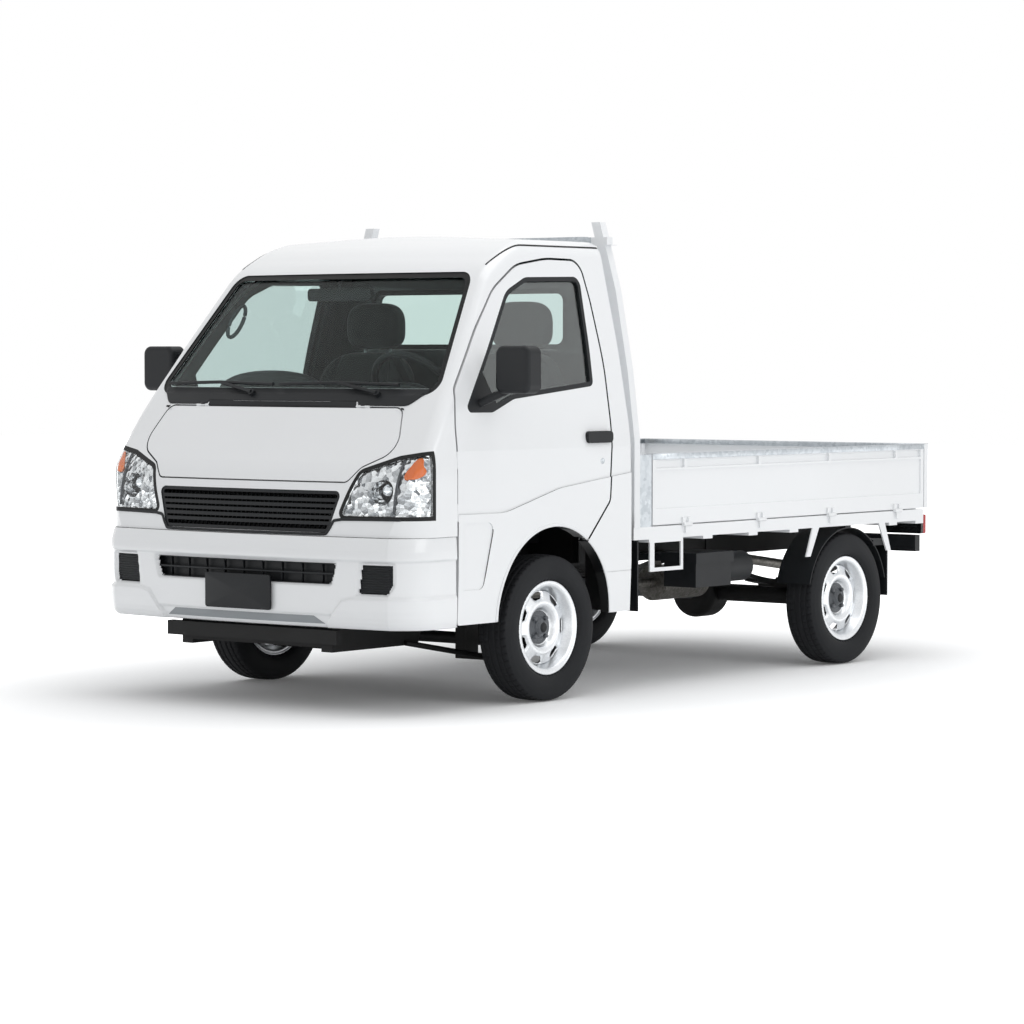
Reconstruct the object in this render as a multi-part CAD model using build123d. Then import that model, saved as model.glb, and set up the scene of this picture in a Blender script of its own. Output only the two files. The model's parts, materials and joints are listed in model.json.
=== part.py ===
from build123d import *
import os
from math import cos, radians, sin, sqrt

# A small cab-over truck. The front faces -Y, its left side is +X, and the ground is z = 0.

# Driving dimensions, in mm.
overall_length = 3395
overall_width = 1475
wheelbase = 1930
front_axle_y = -835
tyre_diameter = 522
tyre_width = 145
front_half_track = 652
rear_half_track = 650
cab_length = 1312.5
cab_bottom_z = 290
cab_height = 1378
bed_floor_z = 612
gate_top_z = 864
guard_top_z = 1716

front_y = -overall_length / 2
rear_y = overall_length / 2
half_width = overall_width / 2
rear_axle_y = front_axle_y + wheelbase
axle_z = tyre_diameter / 2
cab_back_y = front_y + cab_length
cab_top_z = cab_bottom_z + cab_height

# General allowances.
overrun = 200
seat_gap = 0.3
sheet = 3
moving_gap = 8
fit_gap = 0.05

# Cab body: outlines are shares of the cab's length, its height and the half width.
plan_radius = 4800
pillar_radius = 50
wall = 44
skin = 15
cab_profile_shares = [
    (0.0324, 0.0), (0.0194, 0.225), (0.0362, 0.3701), (0.1596, 0.5479), (0.4537, 0.9035),
    (0.5619, 0.9594), (0.76, 1.016), (1.141, 1.0377), (1.141, 0.0)]
cab_profile_radii = [0, 400, 300, 1500, 300, 500, 1000, 0, 0]
cab_section_shares = [
    (0.99, 0.0), (1.0, 0.1379), (1.0, 0.4499), (0.9166, 0.6945), (0.8136, 0.9325), (0.7932, 0.9797),
    (0.0, 1.0)]
cab_section_radii = [0, 0, 1200, 2000, 0, 75, 5000]
sweep_degrees = 30
cab_plan_shares = (0.0644, -0.0225)
bumper_plan_shares = (0.0476, -0.039)
plan_corner_radius = 150
plan_relief = 0.5

# Panel splits of the cab.
roof_half_width = 582
roof_front_z = 1532
rear_panel_half_width = 560
rear_panel_bottom_z = 560
front_split_y = -1386
front_split_z = 1085
bumper_top_share = 0.232
cab_side_bottom_z = 298

# Doors.
door_outline_shares = [
    (0.2434, 0.009), (0.2434, 0.5), (0.263, 0.595), (0.387, 0.745), (0.49, 0.847), (0.608, 0.911),
    (0.745, 0.929), (0.891, 0.927), (0.908, 0.826), (0.92, 0.642), (0.912, 0.459), (0.9, 0.302),
    (0.798, 0.202), (0.417, 0.009)]
door_outline_radii = [12, 300, 60, 900, 250, 200, 500, 60, 500, 700, 700, 40, 0, 0]
door_window_shares = [
    (0.289, 0.538), (0.406, 0.537), (0.505, 0.57), (0.862, 0.601), (0.882, 0.887), (0.638, 0.882),
    (0.543, 0.845)]
door_window_radii = [18, 60, 90, 25, 35, 90, 120]
door_inner_step = 20
sail_shares = [(0.289, 0.538), (0.406, 0.537), (0.43, 0.556), (0.365, 0.68)]
sail_radii = [18, 20, 10, 10]
hinge_knuckle_radius = 3.7
hinge_bore_radius = 2
hinge_pin_length = 60
door_hinge_zs = (660, 840)
door_open_x = 400
window_frame = 16
glass_thickness = 5
glass_depth = 9

# Pressings of the sides: the swage line over the arch, the pressed panel ahead of it and the sill's groove.
swage_step = 4
swage_shares = [(0.2, 0.2852), (0.4384, 0.2837), (0.6769, 0.3396), (1.1, 0.3825), (1.1, 0.46), (0.2, 0.46)]
swage_radii = [0, 350, 350, 0, 0, 0]
press_shares = [(0.262, 0.095), (0.345, 0.095), (0.395, 0.262), (0.262, 0.262)]
press_radii = [10, 30, 30, 10]
sill_groove_share = 0.1139
sill_groove = 3

# Wheel arches.
arch_radius = 322
arch_z = 300
arch_inner_x = 415

# Windscreen and rear window.
windscreen_shares = [(0.9031, 0.5827), (0.7539, 0.894)]
windscreen_radii = [45, 60]
seal_width = 20
seal_depth = 3
rear_window_half_width = 470
rear_window_low_z = 1248
rear_window_high_z = 1475
rear_window_radius = 50

# Bonnet lid, grille, headlamps.
lid_shares = [(0.5966, 0.3679), (0.655, 0.405), (0.8136, 0.4463), (0.7444, 0.5486)]
lid_radii = [25, 40, 60, 40]
lid_gap = 5
lid_hinge_x = 380
lid_swing_height = 16
grille_shares = [(0.5831, 0.3447), (0.518, 0.2409)]
grille_radii = [20, 20]
grille_depth = 30
grille_border = 12
grille_slats = 5
grille_slat = 12
lamp_shares = [(0.56, 0.2736), (0.6536, 0.3977), (0.8447, 0.4332), (1.0847, 0.4536), (1.0847, 0.2743)]
lamp_radii = [25, 40, 60, 0, 0]
lamp_back_y = -1500
lamp_border = 14
lens_thickness = 3
bowl_front = 8
bowl_radius = 78
bowl_x = 590
bowl_z = 765
bowl_taper = 20

# Front bumper and what sits in it.
bumper_profile_shares = [
    (0.0324, 0.0), (0.0112, 0.0218), (0.004, 0.1161), (0.0072, 0.1959), (0.0171, bumper_top_share),
    (1.141, bumper_top_share), (1.141, 0.0)]
bumper_profile_radii = [0, 40, 500, 300, 0, 0, 0]
bumper_wall = 22
bumper_flange = 60
bumper_side_flange = 38
slot_half_width = 420
slot_low_z = 445
slot_high_z = 518
slot_bars = 3
fog_shares = [(0.7051, 0.0835), (0.8203, 0.1691)]
fog_radius = 20
insert_front = 14
insert_back = 36
plate_depth = 30
insert_bar = 8
plate_half_width = 157
plate_low_z = 349
plate_high_z = 469

# Chassis.
rail_x = 330
rail_width = 50
rail_low_z = 440
rail_high_z = 540
nose_low_z = 205
nose_rise_y = -1140
nose_run = 80
rail_front_y = -1600
rail_rear_y = 1640
cross_height = 70
cross_width = 60
cross_ys = [-1570, -1020, -240, 430, 860, 1590]
outrigger_x = 560
outrigger_width = 40
beam_half_width = 400
beam_depth = 30
beam_low_z = 235
beam_high_z = 285

# Engine and drive line.
engine_half_width = 190
engine_front_y = -800
engine_rear_y = -445
engine_low_z = 250
engine_high_z = 600
mount_height = 40
engine_chamfer = 25
gearbox_mount_width = 200
gearbox_taper = 4
gearbox_rear_y = 80
gearbox_low_z = 270
gearbox_high_z = 420
shaft_radius = 28
axle_tube_radius = 35
diff_radius = 105
diff_half_length = 75
diff_round = 35
drum_radius = 100
drum_chamfer = 6
drum_width = 42
drum_outer_inset = 0

# Rear springs.
spring_x = 430
spring_width = 60
leaf_thickness = 8
leaf_count = 4
leaf_half_length = 455
leaf_step = 95
leaf_radius = 1260
eye_radius = 20
eye_pin_radius = 9
shackle_thickness = 6

# Wheels.
rim_flange_radius = 168
rim_bead_radius = 152
rim_half_width = 52
rim_flange = 4
rim_wall = 5
rim_seat_end = 26
rim_well_half = 14
rim_well_radius = 132
disc_face_x = 8
disc_thickness = 6
disc_crown_x = 24
disc_edge_x = -2
disc_crown_radius = 100
disc_hub_radius = 66
hub_boss_radius = 34
hub_boss_length = 22
vent_count = 8
vent_radius = 106
vent_length = 22
vent_width = 40
vent_side_angle = 75
spindle_radius = 16
sidewall_radius = 208
sidewall_round = 60
tread_half_width = 56
shoulder_radius = 14

# Front suspension and steering.
kingpin_low_x = 590
kingpin_low_z = 152
kingpin_high_x = 505
kingpin_high_z = 625
strut_low_x = 528
strut_low_z = 300
strut_radius = 22
strut_rod_radius = 7
strut_body_top_z = 592
spring_coil_radius = 42
spring_wire = 11
spring_turns = 6
spring_low_coil_z = 415
spring_high_z = 590
carrier_half_width = 40
carrier_thickness = 26
steer_arm_length = 115
steer_arm_z = 215
steer_arm_thickness = 14
arm_thickness = 18
arm_width = 70
arm_round = 20
arm_end_step = 14
arm_gap = 6
ball_radius = 10
brace_radius = 10
tie_rod_radius = 11
tie_rod_end_x = 430
rack_radius = 22
rack_half_length = 372
rack_drop = 22
tower_radius = 45
tower_gap = 0.9

# Under-floor units.
muffler_radius = 70
muffler_x = 170
muffler_z = 330
muffler_front_y = 520
muffler_rear_y = 820
pipe_radius = 20
tank_inner_x = 400
tank_outer_x = 660
tank_front_y = 120
tank_rear_y = 590
tank_low_z = 250
tank_high_z = 470
tank_radius = 40
battery_inner_x = 520
battery_outer_x = 668
battery_front_y = 118
battery_rear_y = 349
battery_low_z = 352
battery_high_z = 482
battery_lip = 8
canister_radius = 58
canister_rear_y = 500
hanger_width = 40
hanger_thickness = 8

# Cab inside.
floor_thickness = 12
floor_half_width = 686
riser_y = -1175
deck_z = 650
toe_lap = 30
wheelhouse_x = 400
seat_x = 350
seat_half_width = 225
seat_base_height = 60
cushion_height = 120
cushion_front_y = -1000
cushion_rear_y = -560
back_top_z = 1236
back_thickness = 105
back_lean = 62
headrest_low_z = 1252
headrest_high_z = 1424
headrest_half_width = 125
headrest_thickness = 80
headrest_post_radius = 6
back_top_share = 0.75
seat_radius = 40
dash_profile_shares = [
    (0.1, 0.43), (0.14, 0.5), (0.26, 0.58), (0.375, 0.575), (0.395, 0.52), (0.38, 0.40), (0.33, 0.31),
    (0.1, 0.31)]
dash_half_width = 640
dash_radius = 18
wheel_x = 350
wheel_y = -1130
wheel_z = 1090
wheel_tilt = 52
wheel_rim_radius = 178
wheel_grip_radius = 13
wheel_hub_radius = 55
wheel_spoke_width = 34
wheel_spoke_angles = (0, 180, 270)
column_radius = 26
column_length = 180
inner_mirror_x = -22
inner_mirror_half_width = 150
inner_mirror_z = 1445
inner_mirror_y = -1130
inner_mirror_height = 46
inner_mirror_depth = 22
mirror_stem_radius = 7

# Wipers.
wiper_radius = 6
wiper_proud = 14
wiper_pivot_z = 1092
wiper_bow = 6
wiper_table = [(-600, -60, -150, 1118), (-30, 500, 420, 1118)]

# Outside mirrors and handles.
mirror_x = 842
mirror_y = -1187
mirror_z = 1179
mirror_width = 150
mirror_height = 165
mirror_depth = 70
mirror_radius = 30
mirror_arm_radius = 14
mirror_foot_x = 706
mirror_foot_y = -1225
mirror_foot_z = 1062
handle_front_y = -652
handle_rear_y = -504
handle_low_z = 914
handle_high_z = 956
handle_proud = 14
handle_radius = 16

# Bed.
bed_front_y = -258
bed_half_width = 722
bed_floor_half_width = 686
bed_floor_front_y = -290
floor_rib_count = 9
floor_rib_width = 30
floor_rib_depth = 4
floor_margin = 60
bed_floor_rear_y = 1650
side_rail_low_z = 552
side_rail_high_z = 598
side_rail_inner_x = 690
cross_sill_ys = [-225, 120, 420, 700, 1420]
cross_sill_width = 60
gate_thickness = 28
gate_bottom_z = 603
gate_front_y = -232
gate_rear_y = 1650
gate_top_rail = 52
gate_recess = 10
gate_groove_z = 655
gate_groove = 8
gate_border = 22
gate_rib_width = 14
gate_rib_count = 4
gate_top_lip = 22
hinge_z = 600
hinge_radius = 7.5
hinge_pin_radius = 4
hinge_count = 4
hinge_first_share = 0.11
hinge_last_share = 0.89
knuckle_length = 26
lug_depth = 18
tail_front_y = 1656
tail_hinge_radius = 6.5
rear_sill_front_y = 1590
rear_sill_rear_y = 1650
headboard_rear_y = -262
headboard_thickness = 24
headboard_top_z = 884
guard_front_y = -350
guard_rear_y = -315
guard_section = 40
guard_post_table = [(725, 598), (725, 919), (693, 1174), (638, 1467), (566, guard_top_z)]
guard_rail_low_z = 1630
guard_rail_high_z = 1664
latch_front_y = -340
latch_rear_y = -240
latch_thickness = 8
skirt_front_y = -249
skirt_rear_y = -40
skirt_low_z = 432
skirt_border = 14
skirt_thickness = 6
strut_plate_width = 46
strut_foot_z = 440
strut_top_share = 0.86
strut_foot_share = 1.05
fender_radius = 279
fender_thickness = 4
fender_zone_share = 0.75
fender_inner_x = 560
fender_outer_x = 716
flap_low_z = 258
flap_thickness = 8
flap_bracket = 110
lamp_low_z = 496
lamp_high_z = 574
tail_lamp_inner_x = 540
tail_lamp_outer_x = 712
tail_lamp_rear_y = 1686
underrun_low_z = 423
underrun_high_z = 490
underrun_rear_y = 1676
splash_front_y = -320
splash_rear_y = -312

body_bottom_z = cab_bottom_z + bumper_top_share * cab_height
tail_hinge_y = rear_y - tail_hinge_radius
door_front_y = front_y + door_outline_shares[0][0] * cab_length
lid_top_z = cab_bottom_z + lid_shares[-1][1] * cab_height

side_view = Plane(origin=(0, 0, 0), x_dir=(0, 1, 0), z_dir=(1, 0, 0))
front_view = Plane(origin=(0, 0, 0), x_dir=(1, 0, 0), z_dir=(0, -1, 0))


def along(share):
    """Place along the cab, from the front of the truck."""
    return front_y + share * cab_length


def up(share):
    """Height on the cab, from its lower edge."""
    return cab_bottom_z + share * cab_height


def block(x_start, x_end, y_start, y_end, z_start, z_end):
    centre = Pos((x_start + x_end) / 2, (y_start + y_end) / 2, (z_start + z_end) / 2)
    return centre * Box(abs(x_end - x_start), abs(y_end - y_start), abs(z_end - z_start))


def both_sides(solid):
    return solid + mirror(solid, about=Plane.YZ)


def other_side(solid):
    return mirror(solid, about=Plane.YZ)


def rod(start, finish, radius):
    start, finish = Vector(*start), Vector(*finish)
    run = finish - start
    return extrude(Plane(origin=start, z_dir=run.normalized()) * Circle(radius), run.length)


def outline(points, radii):
    """A closed face with its corners rounded, in the order of the points."""
    if any(radii):
        return make_face(FilletPolyline(*points, radius=radii, close=True))
    return make_face(Polyline(*points, close=True))


def side_prism(face, x_start, x_end):
    return Pos(x_start, 0, 0) * extrude(side_view * face, x_end - x_start)


def front_prism(face, y_start, y_end):
    return Pos(0, y_end, 0) * extrude(front_view * face, y_end - y_start)


def side_outline(shares, radii, grow=0):
    face = outline([(along(length), up(height)) for length, height in shares], radii)
    return offset(face, grow, kind=Kind.INTERSECTION) if grow else face


def mirrored(points, radii):
    """The right half of a front-view outline followed by its mirror image."""
    closing = [(-x, z) for x, z in reversed(points) if x > 0]
    closing_radii = [r for (x, z), r in reversed(list(zip(points, radii))) if x > 0]
    return outline(points + closing, radii + closing_radii)


def front_outline(shares, radii, grow=0):
    face = mirrored([(width * half_width, up(height)) for width, height in shares], radii)
    return offset(face, grow, kind=Kind.INTERSECTION) if grow else face


def write(name, solid):
    export_step(solid, os.path.join("parts", name + ".step"))


# The cab's outer form: a side profile swept round a plan arc, cut to the front section and to a plan outline.
plan_axis = Axis((0, front_y + plan_radius, 0), (0, 0, 1))


def swept_form(profile, inset):
    if inset:
        profile = offset(profile, -inset, kind=Kind.INTERSECTION)
    return revolve(side_view * profile, plan_axis, sweep_degrees).rotate(plan_axis, -sweep_degrees / 2)


def plan_prism(plan_shares, inset, relief=0):
    """The plan outline, with rounded front corners, as an upright prism."""
    side_x, back_y = half_width + relief, cab_back_y + relief + inset
    corner_y, centre_y = along(plan_shares[0]), along(plan_shares[1])
    face = outline(
        [(side_x, back_y), (side_x, corner_y), (0, centre_y), (-side_x, corner_y), (-side_x, back_y)],
        [0, plan_corner_radius, 0, plan_corner_radius, 0])
    if inset:
        face = offset(face, -inset, kind=Kind.INTERSECTION)
    return extrude(face, cab_top_z + overrun)


def pillar_edges(form):
    """The edges where the swept front meets the sides."""
    turns = []
    for edge in form.edges():
        middle = edge @ 0.5
        rise = abs((edge @ 1).Z - (edge @ 0).Z)
        if abs(middle.X) > roof_half_width / 2 and middle.Y < cab_back_y - overrun and rise > sheet:
            faces = [face for face in form.faces() if any(edge.is_same(other) for other in face.edges())]
            if faces[0].normal_at(middle).get_angle(faces[1].normal_at(middle)) > 20:
                turns.append(edge)
    return turns


cab_profile = side_outline(cab_profile_shares, cab_profile_radii)
cab_section = front_outline(cab_section_shares, cab_section_radii)
forms = {}


def cab_form(inset=0):
    """The cab's form, this far below its outer surface."""
    if inset not in forms:
        section = offset(cab_section, -inset, kind=Kind.INTERSECTION) if inset else cab_section
        form = swept_form(cab_profile, inset) & front_prism(section, front_y - overrun, cab_back_y - inset)
        form = form.solids()[0]
        if pillar_radius > inset:
            form = fillet(pillar_edges(form), pillar_radius - inset)
        forms[inset] = (form & plan_prism(cab_plan_shares, inset, plan_relief)).solids()[0]
    return forms[inset]


def layer(outer, inner):
    """The part of the cab's wall between two depths."""
    return cab_form(outer) - cab_form(inner)


os.makedirs("parts", exist_ok=True)

# Openings of the cab's wall.
cab_wall = cab_form() - cab_form(wall)
door_face = side_outline(door_outline_shares, door_outline_radii)
door_gap_face = side_outline(door_outline_shares, door_outline_radii, moving_gap)
arch = side_prism(Pos(front_axle_y, arch_z) * Circle(arch_radius), arch_inner_x, half_width + overrun)
under_deck = block(wall - half_width, half_width - wall, front_y, cab_back_y - wall, 0, deck_z)
side_zone_x = (half_width - swage_step, half_width + overrun)
pressings = side_prism(side_outline(swage_shares, swage_radii), *side_zone_x)
pressings += side_prism(side_outline(press_shares, press_radii), *side_zone_x)
windscreen_face = front_outline(windscreen_shares, windscreen_radii)
windscreen_inner_face = offset(windscreen_face, -seal_width, kind=Kind.INTERSECTION)
rear_window_face = outline(
    [(rear_window_half_width, rear_window_low_z), (rear_window_half_width, rear_window_high_z),
     (-rear_window_half_width, rear_window_high_z), (-rear_window_half_width, rear_window_low_z)],
    [rear_window_radius] * 4)
screen_zone = (front_y - overrun, cab_back_y - wall - overrun)
rear_zone = (cab_back_y - wall - overrun, cab_back_y + overrun)
screen_hole = front_prism(windscreen_inner_face, *screen_zone)
screen_seat = front_prism(windscreen_face, *screen_zone) & layer(0, glass_depth + glass_thickness)
rear_hole = front_prism(rear_window_face, *rear_zone)
door_hole = side_prism(door_gap_face, door_open_x, half_width + overrun)
cab_wall = cab_wall - screen_hole - screen_seat - rear_hole
cab_wall = cab_wall - both_sides(door_hole) - both_sides(arch)

# Roof with its front header, back wall, and the front body below the windscreen.
roof_zone = block(-roof_half_width, roof_half_width, front_y, cab_back_y, roof_front_z, cab_top_z + overrun)
rear_zone_box = block(
    -rear_panel_half_width, rear_panel_half_width, cab_back_y - wall, cab_back_y, rear_panel_bottom_z,
    roof_front_z)
front_zone = block(
    -half_width, half_width, front_y - overrun, front_split_y, body_bottom_z, front_split_z)
side_zone = block(0, half_width, front_y, cab_back_y, cab_side_bottom_z, cab_top_z)
write("roof_panel", cab_wall & roof_zone)
write("cab_rear_panel", cab_wall & rear_zone_box)
lid_face = front_outline(lid_shares, lid_radii)
lid_gap_face = front_outline(lid_shares, lid_radii, lid_gap)
grille_face = front_outline(grille_shares, grille_radii)
lamp_points = [(width * half_width, up(height)) for width, height in lamp_shares]
lamp_face = outline(lamp_points, lamp_radii)
lamp_hole = front_prism(offset(lamp_face, seat_gap, kind=Kind.INTERSECTION), front_y - overrun, lamp_back_y)
lid_pocket = front_prism(lid_gap_face, *screen_zone) & layer(0, skin + moving_gap)
front_body = (cab_wall & front_zone) - lid_pocket
front_body = front_body - front_prism(grille_face, *screen_zone) - both_sides(lamp_hole)
nose_zone = block(-half_width, half_width, front_y, front_split_y, 0, body_bottom_z)
rear_cut = block(
    -rear_panel_half_width, rear_panel_half_width, cab_back_y - wall, cab_back_y, 0, rear_panel_bottom_z)
cab_side = (cab_wall & side_zone) - roof_zone - rear_zone_box - rear_cut - front_zone - nose_zone - under_deck
sill_line = block(
    half_width - sill_groove, half_width, front_axle_y, cab_back_y, up(sill_groove_share) - sill_groove / 2,
    up(sill_groove_share) + sill_groove / 2)
cab_side = cab_side - pressings - sill_line


def surface_point(x, z, depth=0):
    """The point of the cab's outer form at a place of the front view, moved inwards by a depth."""
    hits = cab_form().find_intersection_points(Axis((x, front_y - overrun, z), (0, 1, 0)))
    point, normal = hits[0]
    if normal.Y > 0:
        normal = -normal
    return point - normal * depth


def hinge(start, finish, towards):
    """A shut line's hinge: the carrier's pin and middle knuckle, and the eyes of what swings."""
    start, finish = Vector(*start), Vector(*finish)
    third = (finish - start) / 3
    clear = third.normalized() * seat_gap
    weld = Vector(*towards) * moving_gap / 2
    fixed = rod(start + third, finish - third, hinge_knuckle_radius) + rod(start, finish, hinge_bore_radius)
    fixed += rod(start + third - weld, finish - third - weld, hinge_bore_radius)
    eyes = Part()
    for low, high in ((start, start + third - clear), (finish - third + clear, finish)):
        eyes += rod(low, high, hinge_knuckle_radius) + rod(low + weld, high + weld, hinge_bore_radius)
    return fixed, eyes - rod(start, finish, hinge_bore_radius + fit_gap)


# Bonnet lid on two knuckles along its top edge.
lid_knuckle_z = lid_top_z + lid_gap
lid_axis_y = surface_point(lid_hinge_x, lid_knuckle_z, hinge_knuckle_radius).Y
bonnet_lid = front_prism(lid_face, *screen_zone) & layer(0, skin)
for x in (-lid_hinge_x, lid_hinge_x):
    left_end = (x - hinge_pin_length / 2, lid_axis_y, lid_knuckle_z)
    right_end = (x + hinge_pin_length / 2, lid_axis_y, lid_knuckle_z)
    fixed, eyes = hinge(left_end, right_end, (0, 0, -1))
    front_body -= rod(left_end, right_end, hinge_knuckle_radius + seat_gap)
    front_body += fixed
    bonnet_lid += eyes
lid_swing_x = lid_hinge_x - hinge_pin_length / 2 - seat_gap
front_body -= block(
    -lid_swing_x, lid_swing_x, front_y, lid_axis_y, lid_knuckle_z - lid_gap, lid_knuckle_z + lid_swing_height)
write("bonnet_lid", bonnet_lid)

# Doors: an outer skin over a smaller inner panel, the black window frame with the mirror, and the glass.
door_axis_x = half_width - hinge_knuckle_radius
door_axis_y = door_front_y - moving_gap / 2
door_skin = side_prism(door_face, door_open_x, half_width + overrun) & layer(0, skin)
door_inner_face = offset(door_face, -door_inner_step, kind=Kind.INTERSECTION)
door_core = side_prism(door_inner_face, door_open_x, half_width + overrun) & layer(skin, wall)
window_face = side_outline(door_window_shares, door_window_radii)
glass_face = offset(window_face, -window_frame, kind=Kind.INTERSECTION)
glass_edge_face = offset(window_face, -window_frame / 2, kind=Kind.INTERSECTION)
frame_face = offset(window_face, -seat_gap, kind=Kind.INTERSECTION)
handle_face = outline(
    [(handle_front_y, handle_low_z), (handle_rear_y, handle_low_z), (handle_rear_y, handle_high_z),
     (handle_front_y, handle_high_z)], [handle_radius] * 4)
handle = side_prism(handle_face, half_width - skin, half_width + handle_proud - skin / 2)
handle_pocket = side_prism(offset(handle_face, seat_gap), half_width - skin, half_width + overrun)
door = (door_skin + door_core) - side_prism(window_face, door_open_x, half_width + overrun)
door = door - both_sides(arch) - handle_pocket - pressings
door -= block(0, half_width - wall - moving_gap, front_y, cab_back_y, 0, body_bottom_z)
for z in door_hinge_zs:
    low_end, high_end = (door_axis_x, door_axis_y, z), (door_axis_x, door_axis_y, z + hinge_pin_length)
    fixed, eyes = hinge(low_end, high_end, (0, 1, 0))
    front_body += both_sides(fixed)
    door += eyes
write("front_body", front_body)
write("door_left", door)
write("door_right", other_side(door))
door_glass = side_prism(glass_edge_face, door_open_x, half_width + overrun)
door_glass = door_glass & layer(glass_depth, glass_depth + glass_thickness)
glass_slot = side_prism(offset(glass_edge_face, seat_gap), door_open_x, half_width + overrun)
glass_slot = glass_slot & layer(glass_depth - seat_gap, glass_depth + glass_thickness + seat_gap)
write("door_glass_left", door_glass)
write("door_glass_right", other_side(door_glass))
trim = side_prism(frame_face, door_open_x, half_width + overrun) & layer(seat_gap, wall - skin)
trim = trim - side_prism(glass_face, door_open_x, half_width + overrun) - glass_slot
sail_points = [(along(length), up(height)) for length, height in sail_shares]
sail = side_prism(outline(sail_points, sail_radii), door_open_x, half_width + overrun)
trim += (sail & layer(seat_gap, glass_depth - seat_gap)) & side_prism(frame_face, door_open_x, half_width)
mirror_box = Pos(mirror_x, mirror_y, mirror_z) * Box(mirror_width, mirror_depth, mirror_height)
mirror_box = fillet(mirror_box.edges().filter_by(Axis.Y), mirror_radius)
mirror_box = fillet(mirror_box.faces().sort_by(Axis.Y)[0].edges(), mirror_radius / 2)
arm_start = (mirror_x - mirror_width / 4, mirror_y, mirror_z - mirror_height / 2 + mirror_arm_radius)
arm_end = (mirror_foot_x, mirror_foot_y, mirror_foot_z)
trim += mirror_box + rod(arm_start, arm_end, mirror_arm_radius) + handle
trim = trim - glass_slot
write("door_trim_left", trim)
write("door_trim_right", other_side(trim))

# The rest of the cab's shell.
write("cab_side_left", cab_side)
write("cab_side_right", other_side(cab_side))
screen_mid_face = offset(windscreen_face, -seal_width / 2, kind=Kind.INTERSECTION)
rear_mid_face = offset(rear_window_face, -seal_width / 2, kind=Kind.INTERSECTION)
rear_inner_face = offset(rear_window_face, -seal_width, kind=Kind.INTERSECTION)
pane = layer(glass_depth, glass_depth + glass_thickness)
screen_pane = front_prism(screen_mid_face, *screen_zone) & pane
rear_pane = front_prism(rear_mid_face, *rear_zone) & pane
write("cab_glass", screen_pane + rear_pane)
screen_seal = front_prism(offset(windscreen_face, -seat_gap, kind=Kind.INTERSECTION), *screen_zone)
screen_seal = (screen_seal & layer(seal_depth, glass_depth + glass_thickness)) - screen_hole - screen_pane
rear_seal = front_prism(offset(rear_window_face, -seat_gap, kind=Kind.INTERSECTION), *rear_zone)
rear_seal = (rear_seal & layer(seal_depth, wall - seal_depth)) - front_prism(rear_inner_face, *rear_zone)

# Grille: a rim and level slats.
rim_face = offset(grille_face, -seat_gap, kind=Kind.INTERSECTION)
grille_hole = front_prism(offset(grille_face, -grille_border, kind=Kind.INTERSECTION), *screen_zone)
grille_low_z = up(grille_shares[1][1]) + grille_border
grille_high_z = up(grille_shares[0][1]) - grille_border
pitch = (grille_high_z - grille_low_z) / (grille_slats + 1)
for slat in range(1, grille_slats + 1):
    slat_z = grille_low_z + slat * pitch
    grille_hole -= block(
        -half_width, half_width, front_y - overrun, 0, slat_z - grille_slat / 2, slat_z + grille_slat / 2)
grille = (front_prism(rim_face, *screen_zone) & layer(seal_depth, grille_depth)) - grille_hole
write("grille", grille)

# Headlamps: a clear lens with a rim that stands on the bowl, and a bowl with its reflector hollow.
lamp_prism = front_prism(lamp_face, front_y - overrun, lamp_back_y - seat_gap)
lens_back_y = lamp_back_y - lamp_border
lens_face = offset(lamp_face, -lamp_border, kind=Kind.INTERSECTION)
lens_seat = front_prism(lens_face, front_y - overrun, lens_back_y)
lens_prism = front_prism(
    offset(lens_face, -seat_gap, kind=Kind.INTERSECTION), front_y - overrun, lens_back_y - seat_gap)
lens_hollow = front_prism(
    offset(lens_face, -lens_thickness, kind=Kind.INTERSECTION), front_y - overrun,
    lens_back_y - lens_thickness)
lens = (lens_prism & layer(0, lens_thickness)) + ((lens_prism - lens_hollow) & layer(0, bowl_front))
reflector = extrude(
    Plane(origin=(bowl_x, front_y, bowl_z), z_dir=(0, 1, 0)) * Circle(bowl_radius), overrun, taper=bowl_taper)
bowl = (lamp_prism & layer(bowl_front, wall)) - reflector
lamp_seal = (lamp_prism - lens_seat) & layer(0, bowl_front)
write("headlamp_lenses", both_sides(lens))
write("headlamp_bowls", both_sides(bowl))
write("glass_seals", screen_seal + (rear_seal - rear_pane) + both_sides(lamp_seal))

# Front bumper with its slot, fog-lamp blanks and the blank plate.
bumper_profile = side_outline(bumper_profile_shares, bumper_profile_radii)
bumper_zone = block(-half_width, half_width, front_y, front_split_y, 0, body_bottom_z)


def bumper_form(inset=0):
    return (swept_form(bumper_profile, inset) & plan_prism(bumper_plan_shares, inset)).solids()[0]


def slot_outline(grow=0):
    half = slot_half_width + grow
    low, high = slot_low_z - grow, slot_high_z + grow
    return outline([(half, low), (half, high), (-half, high), (-half, low)], [fog_radius] * 4)


def fog_outline(grow=0):
    (left, low), (right, high) = [(width * half_width, up(height)) for width, height in fog_shares]
    left, low, right, high = left - grow, low - grow, right + grow, high + grow
    return outline([(right, low), (right, high), (left, high), (left, low)], [fog_radius] * 4)


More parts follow.
